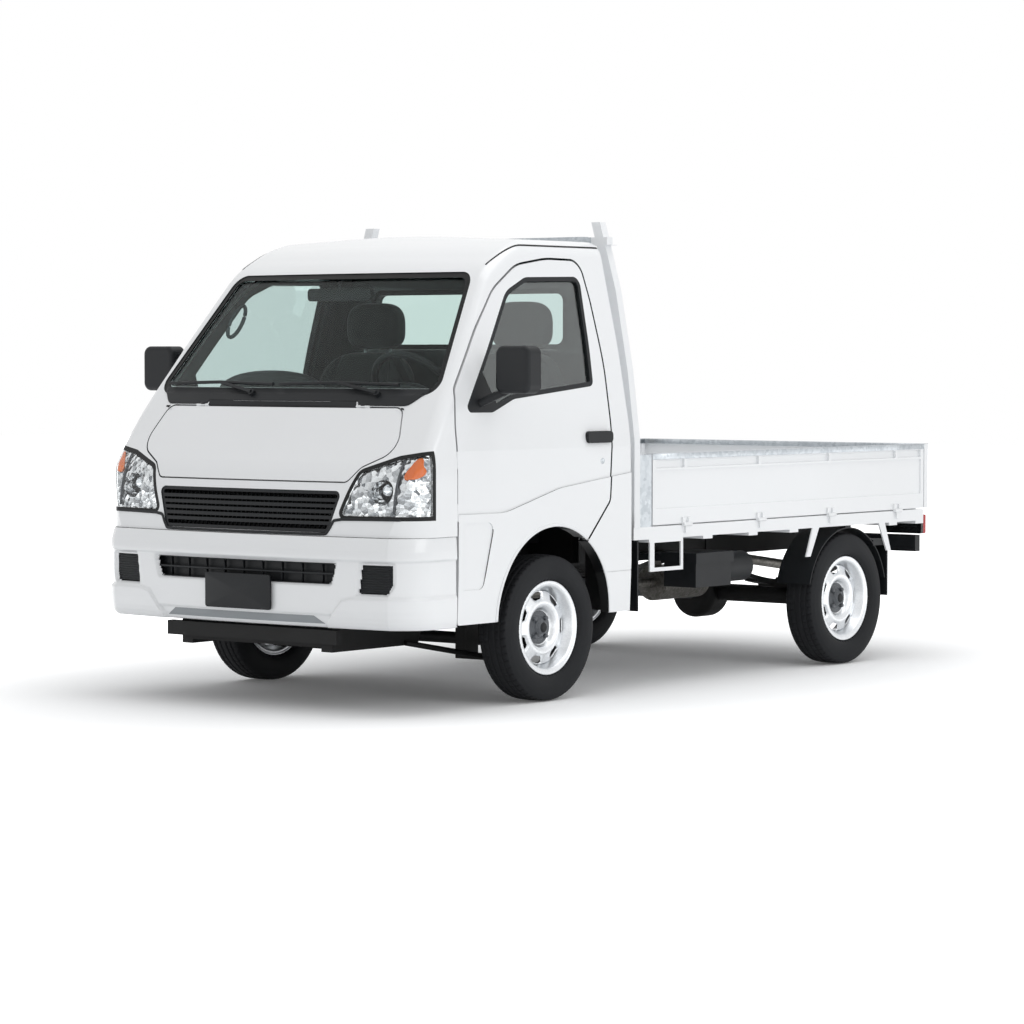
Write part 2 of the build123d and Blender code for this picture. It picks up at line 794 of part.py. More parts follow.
bumper_outer = bumper_form()
flange_cut = extrude(Pos(0, front_y + plan_radius) * Circle(plan_radius - bumper_flange), body_bottom_z)
flange_cut = flange_cut & plan_prism(bumper_plan_shares, bumper_side_flange)
bumper = ((bumper_outer - bumper_form(bumper_wall)) & bumper_zone) - flange_cut
bumper_holes = front_prism(slot_outline(), *screen_zone) + both_sides(
    front_prism(fog_outline(), *screen_zone))
write("front_bumper", bumper - bumper_holes)
insert_ring = Circle(plan_radius - insert_front) - Circle(plan_radius - insert_back)
insert_ring = extrude(Pos(0, front_y + plan_radius) * insert_ring, body_bottom_z)
slot_holes = front_prism(slot_outline(-insert_bar), *screen_zone)
slot_pitch = (slot_high_z - slot_low_z) / (slot_bars + 1)
for bar in range(1, slot_bars + 1):
    bar_z = slot_low_z + bar * slot_pitch
    slot_holes -= block(
        -half_width, half_width, front_y - overrun, 0, bar_z - insert_bar / 2, bar_z + insert_bar / 2)
inserts = (front_prism(slot_outline(-seat_gap), *screen_zone) - slot_holes) & insert_ring
inserts += both_sides(front_prism(fog_outline(-seat_gap), *screen_zone) & insert_ring)
plate = block(-plate_half_width, plate_half_width, front_y, front_y + plate_depth, plate_low_z, plate_high_z)
inserts += plate - bumper_outer
write("bumper_inserts", inserts)

# Chassis frame: two rails that dip under the footwell, and cross members between them.
rail_profile = outline(
    [(rail_front_y, cab_bottom_z), (nose_rise_y - nose_run / 2, cab_bottom_z),
     (nose_rise_y + nose_run / 2, rail_high_z), (rail_rear_y, rail_high_z), (rail_rear_y, rail_low_z),
     (nose_rise_y + nose_run, rail_low_z), (nose_rise_y, nose_low_z), (rail_front_y, nose_low_z)], [0] * 8)
rail_inner_x, rail_outer_x = rail_x - rail_width / 2, rail_x + rail_width / 2
chassis = both_sides(side_prism(rail_profile, rail_inner_x, rail_outer_x))
for cross_y in cross_ys:
    top = cab_bottom_z if cross_y < nose_rise_y else rail_high_z
    chassis += block(
        -rail_x, rail_x, cross_y - cross_width / 2, cross_y + cross_width / 2, top - cross_height, top)
outrigger_end = cab_back_y - wall - outrigger_width
chassis += both_sides(
    block(rail_x, outrigger_x, outrigger_end - outrigger_width, outrigger_end, rail_high_z - cross_height,
    deck_z - floor_thickness))
bumper_beam = block(
    -beam_half_width, beam_half_width, rail_front_y - beam_depth, rail_front_y, beam_low_z, beam_high_z)
chassis += bumper_beam
write("chassis_frame", chassis)

# Engine as one plain block on two mounts, and the drive line to the rear axle.
engine = block(
    -engine_half_width, engine_half_width, engine_front_y, engine_rear_y, engine_low_z, engine_high_z)
engine = chamfer(engine.edges(), engine_chamfer)
mount_z = rail_low_z + (rail_high_z - rail_low_z) / 2
mount_y = (engine_front_y + engine_rear_y) / 2
engine += block(
    -rail_inner_x, rail_inner_x, mount_y - mount_height / 2, mount_y + mount_height / 2,
    mount_z - mount_height / 2, mount_z + mount_height / 2)
write("engine_block", engine)
gearbox_z = (gearbox_low_z + gearbox_high_z) / 2
gearbox_radius = (gearbox_high_z - gearbox_low_z) / 2
gearbox = extrude(
    Plane(origin=(0, engine_rear_y, gearbox_z), z_dir=(0, 1, 0)) * Circle(gearbox_radius),
    gearbox_rear_y - engine_rear_y, taper=gearbox_taper)
pinion_y = rear_axle_y - diff_half_length
drive_line = gearbox + rod((0, gearbox_rear_y, gearbox_z), (0, pinion_y, axle_z), shaft_radius)
gearbox_mount_y = cross_ys[2]
drive_line += block(
    -gearbox_mount_width / 2, gearbox_mount_width / 2, gearbox_mount_y - mount_height / 2,
    gearbox_mount_y + mount_height / 2, gearbox_z, rail_high_z - cross_height)
differential = rod((0, pinion_y, axle_z), (0, rear_axle_y + diff_half_length, axle_z), diff_radius)
write("drive_line", drive_line - differential)


def wheel_plane(x, y):
    """A plane across a wheel's axle, facing outwards on the left."""
    return Plane(origin=(x, y, axle_z), x_dir=(0, 1, 0), z_dir=(1, 0, 0))


def hub_parts(half_track, y):
    """The still parts behind a left wheel: the drum and the stub axle that the wheel turns on."""
    drum_outer = half_track - drum_outer_inset
    drum = extrude(wheel_plane(drum_outer - drum_width, y) * Circle(drum_radius), drum_width)
    drum = chamfer(drum.edges().sort_by(Axis.X)[-1], drum_chamfer)
    stub_end = half_track + disc_face_x + hub_boss_length
    return drum + rod((drum_outer, y, axle_z), (stub_end, y, axle_z), spindle_radius)


tube_half = rear_half_track - drum_outer_inset - drum_width
axle = rod((-tube_half, rear_axle_y, axle_z), (tube_half, rear_axle_y, axle_z), axle_tube_radius)
axle += both_sides(hub_parts(rear_half_track, rear_axle_y))
axle += fillet(differential.edges(), diff_round)
write("rear_axle", axle)

# Leaf springs with their eyes and pins.
spring_low_z = axle_z + axle_tube_radius
spring_span = leaf_half_length
eye_rise = leaf_radius - sqrt(leaf_radius ** 2 - spring_span ** 2)
eye_z = spring_low_z + leaf_thickness * leaf_count + eye_rise
centre_z = spring_low_z + leaf_radius + leaf_thickness * leaf_count
spring_inner_x, spring_outer_x = spring_x - spring_width / 2, spring_x + spring_width / 2
springs = Part()
for leaf in range(leaf_count):
    outer_radius = leaf_radius + (leaf + 1) * leaf_thickness
    reach = spring_span - leaf * leaf_step
    ring = Pos(rear_axle_y, centre_z) * (Circle(outer_radius) - Circle(outer_radius - leaf_thickness))
    strip = Pos(rear_axle_y, spring_low_z + eye_rise / 2) * Rectangle(
        2 * reach, 2 * eye_rise + leaf_thickness * leaf_count)
    springs += side_prism(ring & strip, spring_inner_x, spring_outer_x)
for eye_y in (rear_axle_y - spring_span, rear_axle_y + spring_span):
    springs += rod((spring_inner_x, eye_y, eye_z), (spring_outer_x, eye_y, eye_z), eye_radius)
    springs += rod(
        (rail_outer_x, eye_y, eye_z), (spring_outer_x + shackle_thickness, eye_y, eye_z), eye_pin_radius)
    springs += block(
        rail_outer_x, rail_outer_x + shackle_thickness, eye_y - eye_radius, eye_y + eye_radius,
        eye_z - eye_radius, rail_high_z - sheet)
clamp_half = spring_width / 2 + shackle_thickness
springs += block(
    spring_x - clamp_half, spring_x + clamp_half, rear_axle_y - clamp_half, rear_axle_y + clamp_half,
    spring_low_z + leaf_count * leaf_thickness,
    spring_low_z + leaf_count * leaf_thickness + shackle_thickness)
springs = springs - rod((0, rear_axle_y, axle_z), (rear_half_track, rear_axle_y, axle_z), axle_tube_radius)
write("rear_springs", both_sides(springs))

# Wheels: a pressed steel rim with a dished, slotted disc, and the tyre round it.
disc_x = disc_face_x
rim_points = [
    (rim_half_width, rim_flange_radius), (rim_half_width - rim_flange, rim_flange_radius),
    (rim_half_width - rim_flange, rim_bead_radius), (rim_seat_end, rim_bead_radius),
    (rim_well_half, rim_well_radius), (-rim_well_half, rim_well_radius), (-rim_seat_end, rim_bead_radius),
    (-rim_half_width + rim_flange, rim_bead_radius), (-rim_half_width + rim_flange, rim_flange_radius),
    (-rim_half_width, rim_flange_radius), (-rim_half_width, rim_bead_radius - rim_wall),
    (-rim_seat_end, rim_bead_radius - rim_wall), (-rim_well_half, rim_well_radius - rim_wall),
    (rim_well_half, rim_well_radius - rim_wall), (rim_seat_end, rim_bead_radius - rim_wall),
    (rim_half_width, rim_bead_radius - rim_wall)]
disc_points = [
    (disc_x, spindle_radius + fit_gap), (disc_x + hub_boss_length, spindle_radius + fit_gap),
    (disc_x + hub_boss_length, hub_boss_radius), (disc_x + disc_thickness, hub_boss_radius),
    (disc_x + disc_thickness, disc_hub_radius),
    (disc_crown_x + disc_thickness, disc_crown_radius - disc_thickness),
    (disc_crown_x + disc_thickness, disc_crown_radius + disc_thickness),
    (disc_edge_x + disc_thickness, rim_well_radius - rim_wall),
    (disc_edge_x, rim_well_radius - rim_wall), (disc_crown_x, disc_crown_radius + disc_thickness / 2),
    (disc_crown_x, disc_crown_radius - disc_thickness), (disc_x, disc_hub_radius)]
tyre_radius = tyre_diameter / 2
tyre_points = [
    (rim_half_width - rim_flange - seat_gap, rim_bead_radius + seat_gap),
    (rim_half_width - rim_flange - seat_gap, rim_flange_radius + seat_gap),
    (tyre_width / 2, sidewall_radius),
    (tread_half_width + shoulder_radius / 2, tyre_radius - shoulder_radius),
    (tread_half_width, tyre_radius - sheet), (0, tyre_radius)]
tyre_points += [(-x, r) for x, r in reversed(tyre_points[:-1])]
tyre_radii = [0, 0, sidewall_round, 0, shoulder_radius, 0, shoulder_radius, 0, sidewall_round, 0, 0]


def turned(points, radii):
    """A solid of revolution about a wheel's axle, from points along the axle and out from it."""
    face = outline([(x, r) for x, r in points], radii)
    return revolve(Plane(origin=(0, 0, 0), x_dir=(1, 0, 0), z_dir=(0, -1, 0)) * face, Axis.X)


rim = turned(rim_points, [0] * len(rim_points)) + turned(disc_points, [0] * len(disc_points))
vent = Plane(origin=(0, 0, 0), x_dir=(0, 1, 0), z_dir=(1, 0, 0)) * (
    Pos(0, vent_radius) * Trapezoid(vent_width, vent_length, vent_side_angle, rotation=180))
vent = extrude(vent, rim_half_width)
for turn in range(vent_count):
    rim -= vent.rotate(Axis.X, turn * 360 / vent_count)
tyre = turned(tyre_points, tyre_radii)
wheel_places = [
    ("front_left", front_half_track, front_axle_y), ("front_right", -front_half_track, front_axle_y),
    ("rear_left", rear_half_track, rear_axle_y), ("rear_right", -rear_half_track, rear_axle_y)]
for place, x, y in wheel_places:
    turn = 0 if x > 0 else 180
    write("rim_" + place, Pos(x, y, axle_z) * Rot(0, 0, turn) * rim)
    write("tyre_" + place, Pos(x, y, axle_z) * Rot(0, 0, turn) * tyre)

# Front knuckles: the drum and stub, the strut that leans to its top mount, and the steering arm.
king_low = Vector(kingpin_low_x, front_axle_y, kingpin_low_z)
king_high = Vector(kingpin_high_x, front_axle_y, kingpin_high_z)
drum_inner_x = front_half_track - drum_outer_inset - drum_width
knuckle = hub_parts(front_half_track, front_axle_y)
knuckle += block(
    drum_inner_x - carrier_thickness, drum_inner_x, front_axle_y - carrier_half_width,
    front_axle_y + carrier_half_width, kingpin_low_z + arm_gap, axle_z + carrier_half_width * 2)
strut_low = (strut_low_x, front_axle_y, strut_low_z)
strut_high = (kingpin_high_x, front_axle_y, kingpin_high_z)
strut_share = (strut_body_top_z - strut_low_z) / (kingpin_high_z - strut_low_z)
strut_body_top = (strut_low_x + strut_share * (kingpin_high_x - strut_low_x), front_axle_y, strut_body_top_z)
knuckle += rod(strut_low, strut_body_top, strut_radius) + rod(strut_low, strut_high, strut_rod_radius)
knuckle += block(
    strut_low_x, drum_inner_x, front_axle_y - carrier_half_width / 2, front_axle_y + carrier_half_width / 2,
    strut_low_z - carrier_half_width / 2, axle_z + carrier_half_width * 2)
coil_step = (spring_high_z - spring_low_coil_z) / spring_turns
for turn in range(spring_turns):
    share = (spring_low_coil_z + turn * coil_step - strut_low_z) / (kingpin_high_z - strut_low_z)
    coil_x = strut_low_x + share * (kingpin_high_x - strut_low_x)
    coil_z = strut_low_z + share * (kingpin_high_z - strut_low_z)
    knuckle += Pos(coil_x, front_axle_y, coil_z) * Cylinder(spring_coil_radius, spring_wire)
arm_end_y = front_axle_y + steer_arm_length
knuckle += block(
    drum_inner_x - carrier_thickness, drum_inner_x, front_axle_y, arm_end_y, steer_arm_z,
    steer_arm_z + steer_arm_thickness)
king_axis = (king_high - king_low).normalized()
ball_low, ball_high = king_low - king_axis * arm_thickness / 2, king_low + king_axis * 2 * arm_gap
knuckle += rod(tuple(ball_low), tuple(ball_high), ball_radius)
write("knuckle_left", knuckle)
write("knuckle_right", other_side(knuckle))

# Front suspension: lower arms with their rods, the strut towers, and the steering rack with its tie rods.
arm_top_z = kingpin_low_z
ball_x = kingpin_low_x
arm_face = outline(
    [(rail_outer_x, front_axle_y - arm_width / 2), (ball_x + arm_end_step, front_axle_y - arm_width / 3),
     (ball_x + arm_end_step, front_axle_y + arm_width / 3), (rail_outer_x, front_axle_y + arm_width / 2)],
    [0, arm_round, arm_round, 0])
lower_arm = Pos(0, 0, arm_top_z - arm_thickness) * extrude(arm_face, arm_thickness)
lower_arm -= rod(
    tuple(king_low - king_axis * 2 * arm_thickness), tuple(king_low + king_axis * arm_thickness),
    ball_radius + seat_gap)
brace_end = (rail_outer_x + brace_radius, nose_rise_y - nose_run, nose_low_z + brace_radius)
brace_start = (ball_x - 2 * arm_width, front_axle_y - arm_width / 4, arm_top_z - arm_thickness / 2)
lower_arm += rod(brace_start, brace_end, brace_radius)
hanger = block(
    rail_inner_x, rail_outer_x, front_axle_y - arm_width / 2, front_axle_y + arm_width / 2,
    arm_top_z - arm_thickness, rail_low_z)
tower_low_z = kingpin_high_z + tower_gap
tower = rod(
    (kingpin_high_x, front_axle_y, tower_low_z), (kingpin_high_x, front_axle_y, deck_z - floor_thickness),
    tower_radius)
rack_y = front_axle_y + steer_arm_length
rack_z = steer_arm_z - rack_drop
rack = rod((-rack_half_length, rack_y, rack_z), (rack_half_length, rack_y, rack_z), rack_radius)
tie_rod = rod(
    (rack_half_length, rack_y, rack_z), (tie_rod_end_x, rack_y, rack_z), tie_rod_radius)
rack_hanger = block(
    rail_inner_x, rail_outer_x, rack_y - rack_radius, rack_y + rack_radius, rack_z, rail_low_z)
suspension = both_sides(lower_arm + hanger + tower + tie_rod) + rack
suspension += both_sides(rack_hanger)
write("front_suspension", suspension)

# Exhaust, fuel tank and battery box, each hung from a rail.
muffler = rod((muffler_x, muffler_front_y, muffler_z), (muffler_x, muffler_rear_y, muffler_z), muffler_radius)
muffler += rod((muffler_x, engine_rear_y, muffler_z), (muffler_x, muffler_front_y, muffler_z), pipe_radius)
tail_end = (muffler_x + 2 * pipe_radius, rail_rear_y, muffler_z)
over_axle = (muffler_x, rear_axle_y, axle_z + diff_radius + 2 * pipe_radius)
muffler += rod((muffler_x, muffler_rear_y - pipe_radius, muffler_z), over_axle, pipe_radius)
muffler += rod(over_axle, tail_end, pipe_radius) + Pos(*over_axle) * Sphere(pipe_radius)
for hanger_y in (muffler_front_y + hanger_width, muffler_rear_y - hanger_width):
    muffler += block(
        muffler_x, rail_inner_x, hanger_y - hanger_width / 2, hanger_y + hanger_width / 2,
        rail_low_z, rail_low_z + hanger_thickness)
    muffler += block(
        muffler_x - hanger_thickness / 2, muffler_x + hanger_thickness / 2, hanger_y - hanger_width / 2,
        hanger_y + hanger_width / 2, muffler_z, rail_low_z + hanger_thickness)
write("exhaust", muffler)
tank = block(tank_inner_x, tank_outer_x, tank_front_y, tank_rear_y, tank_low_z, tank_high_z)
tank = fillet(tank.edges().filter_by(Axis.Y), tank_radius)
for strap_y in (tank_front_y + hanger_width * 2, tank_rear_y - hanger_width * 2):
    tank += block(
        rail_outer_x, tank_inner_x + tank_radius, strap_y - hanger_width / 2, strap_y + hanger_width / 2,
        rail_low_z, rail_low_z + hanger_thickness)
write("fuel_tank", other_side(tank))
battery = block(
    battery_inner_x, battery_outer_x, battery_front_y, battery_rear_y, battery_low_z,
    battery_high_z - hanger_width)
battery += block(
    battery_inner_x - battery_lip, battery_outer_x + battery_lip, battery_front_y - battery_lip,
    battery_rear_y + battery_lip, battery_high_z - hanger_width, battery_high_z)
canister_z = (battery_low_z + battery_high_z) / 2
canister_x = battery_outer_x - canister_radius
battery += rod(
    (canister_x, battery_rear_y, canister_z), (canister_x, canister_rear_y, canister_z), canister_radius)
battery += block(
    rail_outer_x, battery_inner_x, battery_front_y, battery_rear_y, rail_low_z + hanger_thickness,
    battery_high_z - hanger_thickness)
write("battery_box", battery)

# Cab floor: the footwell with its toe board, the riser, and the deck over the wheels.
floor_layer = layer(wall, wall + floor_thickness)
toe_board = block(-half_width, half_width, front_y, front_split_y, cab_bottom_z, body_bottom_z + toe_lap)
footwell = block(
    -floor_half_width, floor_half_width, front_y, riser_y, cab_bottom_z,
    cab_bottom_z + wall + floor_thickness)
cab_floor = (floor_layer & toe_board) + (floor_layer & footwell)
floor_low_z = cab_bottom_z + wall
cab_floor += block(
    -floor_half_width, floor_half_width, riser_y - floor_thickness, riser_y, floor_low_z, deck_z)
cab_floor += block(
    -floor_half_width, floor_half_width, riser_y, cab_back_y - wall, deck_z - floor_thickness, deck_z)
cab_floor += both_sides(block(
    wheelhouse_x, wheelhouse_x + floor_thickness, riser_y, outrigger_end - outrigger_width - moving_gap,
    rail_high_z, deck_z))
cab_floor += both_sides(block(
    rail_inner_x, rail_outer_x, rail_front_y, riser_y - floor_thickness - nose_run, cab_bottom_z,
    floor_low_z))
write("cab_floor", cab_floor)

# Seats, one each side: a base, a cushion, a leaning back and a headrest.
cushion_low_z = deck_z + seat_base_height
cushion_high_z = cushion_low_z + cushion_height
seat = block(
    seat_x - seat_half_width + seat_radius, seat_x + seat_half_width - seat_radius,
    cushion_front_y + seat_radius, cushion_rear_y, deck_z, cushion_low_z)
cushion = block(
    seat_x - seat_half_width, seat_x + seat_half_width, cushion_front_y, cushion_rear_y, cushion_low_z,
    cushion_high_z)
seat += fillet(cushion.edges().filter_by(Axis.Z) + cushion.edges().filter_by(Axis.X), seat_radius)
back_profile = outline(
    [(cushion_rear_y - back_thickness, cushion_high_z - seat_radius), (cushion_rear_y, cushion_low_z),
     (cushion_rear_y + back_lean, back_top_z),
     (cushion_rear_y + back_lean - back_thickness * back_top_share, back_top_z)],
    [0, seat_radius / 2, seat_radius / 2, seat_radius / 2])
seat += side_prism(back_profile, seat_x - seat_half_width, seat_x + seat_half_width)
rest_y = cushion_rear_y + back_lean - headrest_thickness / 2
headrest = block(
    seat_x - headrest_half_width, seat_x + headrest_half_width, rest_y - headrest_thickness / 2,
    rest_y + headrest_thickness / 2, headrest_low_z, headrest_high_z)
seat += fillet(headrest.edges().filter_by(Axis.Y), seat_radius)
for side in (-1, 1):
    post_x = seat_x + side * headrest_half_width / 2
    seat += rod(
        (post_x, rest_y, back_top_z - seat_radius), (post_x, rest_y, headrest_low_z + seat_radius),
        headrest_post_radius)
write("seats", both_sides(seat))

# Dashboard against the bulkhead, the steering wheel on its column, and the inside mirror.
dash_face = side_outline(dash_profile_shares, [0, 0] + [dash_radius] * 5 + [0])
dash = side_prism(dash_face, -dash_half_width, dash_half_width) & cab_form(wall)
lean = radians(wheel_tilt)
column_axis = Vector(0, -sin(lean), -cos(lean))
wheel_tilt_plane = Plane(origin=(wheel_x, wheel_y, wheel_z), x_dir=(1, 0, 0), z_dir=-column_axis)
wheel_solid = wheel_tilt_plane * Torus(wheel_rim_radius, wheel_grip_radius)
wheel_solid += wheel_tilt_plane * Pos(0, 0, -wheel_grip_radius) * Cylinder(
    wheel_hub_radius, 2 * wheel_grip_radius)
for angle in wheel_spoke_angles:
    spoke = Pos(wheel_rim_radius / 2, 0, -wheel_grip_radius) * Box(
        wheel_rim_radius, wheel_spoke_width, wheel_grip_radius)
    wheel_solid += wheel_tilt_plane * Rot(0, 0, angle) * spoke
wheel_centre = Vector(wheel_x, wheel_y, wheel_z)
column_start = wheel_centre + column_axis * wheel_grip_radius
column_end = wheel_centre + column_axis * column_length
column = rod(tuple(column_start), tuple(column_end), column_radius)
write("dashboard", dash - rod(tuple(column_start), tuple(column_end), column_radius + seat_gap))
write("steering_wheel", wheel_solid + column)
inner_mirror = block(
    inner_mirror_x - inner_mirror_half_width, inner_mirror_x + inner_mirror_half_width, inner_mirror_y,
    inner_mirror_y + inner_mirror_depth, inner_mirror_z - inner_mirror_height / 2,
    inner_mirror_z + inner_mirror_height / 2)
inner_mirror = fillet(inner_mirror.edges().filter_by(Axis.Y), inner_mirror_height / 3)
mirror_stem = rod(
    (inner_mirror_x, inner_mirror_y + inner_mirror_depth / 2, inner_mirror_z),
    (inner_mirror_x, inner_mirror_y + inner_mirror_depth / 2, cab_top_z), mirror_stem_radius)
write("interior_mirror", inner_mirror + (mirror_stem & cab_form(glass_depth + glass_thickness)))

# Wipers: a pivot, an arm and a blade lying just off the glass.
wipers = Part()
for blade_start, blade_end, pivot_x, blade_z in wiper_table:
    pivot_foot = surface_point(pivot_x, wiper_pivot_z, wiper_proud)
    pivot_top = surface_point(pivot_x, wiper_pivot_z, -wiper_proud)
    middle_x = (blade_start + blade_end) / 2
    ends = [surface_point(x, z, -wiper_proud) for x, z in (
        (blade_start, blade_z), (middle_x, blade_z + wiper_bow), (blade_end, blade_z))]
    wipers += rod(tuple(pivot_foot), tuple(pivot_top), 2 * wiper_radius)
    wipers += rod(tuple(pivot_top), tuple(ends[1]), wiper_radius)
    wipers += rod(tuple(ends[0]), tuple(ends[1]), wiper_radius) + rod(
        tuple(ends[1]), tuple(ends[2]), wiper_radius)
write("wipers", wipers - cab_form(seal_depth) - cab_form())

# Bed frame: cross sills on the rails, side rails with hinge lugs, the front sill, skirts and wheel struts.
bed_frame = Part()
for sill_y in cross_sill_ys:
    bed_frame += block(
        -bed_half_width, bed_half_width, sill_y - cross_sill_width / 2, sill_y + cross_sill_width / 2,
        rail_high_z, side_rail_high_z)
bed_frame += block(
    -bed_half_width, bed_half_width, guard_front_y, bed_front_y, side_rail_low_z, side_rail_high_z)
bed_frame += block(
    -bed_half_width, bed_half_width, rear_sill_front_y, rear_sill_rear_y, rail_high_z, side_rail_high_z)
side_rail = block(
    side_rail_inner_x, bed_half_width, bed_front_y, rear_sill_rear_y, side_rail_low_z, side_rail_high_z)
skirt = block(
    bed_half_width - skirt_thickness, bed_half_width, skirt_front_y, skirt_rear_y, skirt_low_z,
    side_rail_low_z)
skirt -= block(
    0, overall_width, skirt_front_y + skirt_border * 2, skirt_rear_y - skirt_border,
    skirt_low_z + skirt_border,
    side_rail_low_z - skirt_border)
strut_top_z = side_rail_low_z
struts = Part()
for side in (-1, 1):
    top_y = rear_axle_y + side * fender_radius * strut_top_share
    foot_y = rear_axle_y + side * fender_radius * strut_foot_share
    strut_face = outline(
        [(top_y - strut_plate_width / 2, strut_top_z), (top_y + strut_plate_width / 2, strut_top_z),
         (foot_y + strut_plate_width / 3, strut_foot_z), (foot_y - strut_plate_width / 3, strut_foot_z)],
         [0] * 4)
    struts += side_prism(strut_face, bed_half_width - skirt_thickness, bed_half_width)
bed_frame += both_sides(side_rail + skirt + struts)
hinge_x = half_width - hinge_radius
gate_length = gate_rear_y - gate_front_y
hinge_shares = [
    hinge_first_share + (hinge_last_share - hinge_first_share) * place / (hinge_count - 1)
    for place in range(hinge_count)]


def knuckle_row(along_axis, radius, anchor_of):
    """The lug with its pin and the two eyes of one gate hinge, laid along a unit direction."""
    direction = Vector(*along_axis)
    centre = Vector(*anchor_of)
    pin = rod(
        tuple(centre - direction * knuckle_length), tuple(centre + direction * knuckle_length),
        hinge_pin_radius)
    lug = rod(
        tuple(centre - direction * knuckle_length / 3), tuple(centre + direction * knuckle_length / 3),
        radius)
    eyes = Part()
    for side in (-1, 1):
        eyes += rod(
            tuple(centre + direction * side * (knuckle_length / 3 + seat_gap)),
            tuple(centre + direction * side * knuckle_length), radius)
    bore = rod(
        tuple(centre - direction * knuckle_length), tuple(centre + direction * knuckle_length),
        hinge_pin_radius + fit_gap)
    return lug + pin, eyes - bore, bore


def gate_panel(length, height, ribs):
    """An upright gate panel, outer face on y = 0 and facing -Y: rails, a recessed field, ribs and a groove."""
    panel = block(0, length, 0, gate_thickness, 0, height)
    upper = block(
        gate_border, length - gate_border, 0, gate_recess, height - gate_top_rail, height - gate_top_lip)
    for rib in range(ribs):
        rib_x = length * (hinge_first_share + (hinge_last_share - hinge_first_share) * rib / (ribs - 1))
        upper -= block(rib_x - gate_rib_width / 2, rib_x + gate_rib_width / 2, 0, gate_thickness, 0, height)
    field = block(
        gate_border, length - gate_border, 0, gate_recess / 2, gate_groove_z - gate_bottom_z + gate_groove,
        height - gate_top_rail - gate_groove)
    inner = block(
        gate_border, length - gate_border, gate_thickness - gate_recess, gate_thickness, gate_border / 2,
        height - gate_top_lip)
    return panel - upper - field - inner


gate_height = gate_top_z - gate_bottom_z
side_gate = gate_panel(gate_length, gate_height, gate_rib_count)
side_gate = Pos(bed_half_width, gate_front_y, gate_bottom_z) * Rot(0, 0, 90) * side_gate
rail_lugs = Part()
for share in hinge_shares:
    lug, eyes, bore = knuckle_row(
        (0, 1, 0), hinge_radius, (hinge_x, gate_front_y + share * gate_length, hinge_z))
    lug_y = gate_front_y + share * gate_length
    lug += block(
        bed_half_width, hinge_x, lug_y - knuckle_length / 3, lug_y + knuckle_length / 3,
        hinge_z - hinge_radius - knuckle_length, hinge_z)
    rail_lugs += lug
    webs = Part()
    for side in (-1, 1):
        near = lug_y + side * (knuckle_length / 3 + seat_gap)
        far = lug_y + side * knuckle_length
        webs += block(
            bed_half_width, hinge_x, min(near, far), max(near, far), hinge_z, hinge_z + knuckle_length)
    side_gate += eyes + (webs - bore)
bed_frame += both_sides(rail_lugs)
write("side_gate_left", side_gate)
write("side_gate_right", other_side(side_gate))
tail_length = 2 * bed_half_width
tailgate = gate_panel(tail_length, gate_height, gate_rib_count)
tailgate = Pos(bed_half_width, tail_front_y + gate_thickness, gate_bottom_z) * Rot(0, 0, 180) * tailgate
tail_lugs = Part()
tail_outer_y = tail_front_y + gate_thickness
for share in hinge_shares:
    lug_x = tail_length * (share - 0.5)
    lug, eyes, bore = knuckle_row((1, 0, 0), tail_hinge_radius, (lug_x, tail_hinge_y, hinge_z))
    lug += block(
        lug_x - knuckle_length / 3, lug_x + knuckle_length / 3, rear_sill_rear_y, tail_hinge_y,
        hinge_z - lug_depth,
        hinge_z - hinge_pin_radius)
    tail_lugs += lug
    webs = Part()
    for side in (-1, 1):
        near = lug_x + side * (knuckle_length / 3 + seat_gap)
        far = lug_x + side * knuckle_length
        webs += block(
            min(near, far), max(near, far), tail_outer_y, tail_hinge_y, hinge_z, hinge_z + knuckle_length)
    tailgate += eyes + (webs - bore)
bed_frame += tail_lugs
write("tailgate", tailgate)
write("bed_frame", bed_frame)

# Bed floor with pressed ribs, and the guard frame that stands on the front sill.
bed_floor = block(
    -bed_floor_half_width, bed_floor_half_width, bed_floor_front_y, bed_floor_rear_y, side_rail_high_z,
    bed_floor_z)
for rib in range(floor_rib_count):
    rib_x = -bed_floor_half_width + (rib + 1) * 2 * bed_floor_half_width / (floor_rib_count + 1)
    bed_floor -= block(
        rib_x - floor_rib_width / 2, rib_x + floor_rib_width / 2, headboard_rear_y + floor_margin,
        bed_floor_rear_y, bed_floor_z - floor_rib_depth, bed_floor_z)
step_z = bed_floor_z - floor_rib_depth
bed_floor -= block(
    -bed_floor_half_width, bed_floor_half_width, bed_floor_front_y, headboard_rear_y + moving_gap, step_z,
    bed_floor_z)
write("bed_floor", bed_floor)
post_outer = [(x, z) for x, z in guard_post_table]
post_inner = [(x - guard_section, z) for x, z in reversed(guard_post_table)]
post = front_prism(
    outline(post_outer + post_inner, [0] * (2 * len(guard_post_table))), guard_front_y, guard_rear_y)
rail_half = guard_post_table[-2][0]
rail_flat_half = guard_post_table[-1][0] - 2 * guard_section
top_rail = block(
    -rail_flat_half, rail_flat_half, guard_front_y, guard_rear_y, guard_rail_low_z, guard_rail_high_z)
top_rail += block(
    -rail_half + guard_section, rail_half - guard_section, guard_front_y, guard_rear_y, guard_rail_low_z,
    guard_rail_high_z - sheet)
top_rail += block(
    -rail_half + guard_section / 2, rail_half - guard_section / 2, guard_front_y, guard_rear_y,
    guard_rail_low_z,
    guard_rail_low_z + sheet)
low_rail = block(
    -bed_half_width + guard_section / 2, bed_half_width - guard_section / 2, guard_front_y, guard_rear_y,
                 headboard_top_z - guard_section, headboard_top_z)
latch = block(
    bed_half_width - gate_thickness, bed_half_width, latch_front_y, latch_rear_y, side_rail_high_z,
    gate_top_z)
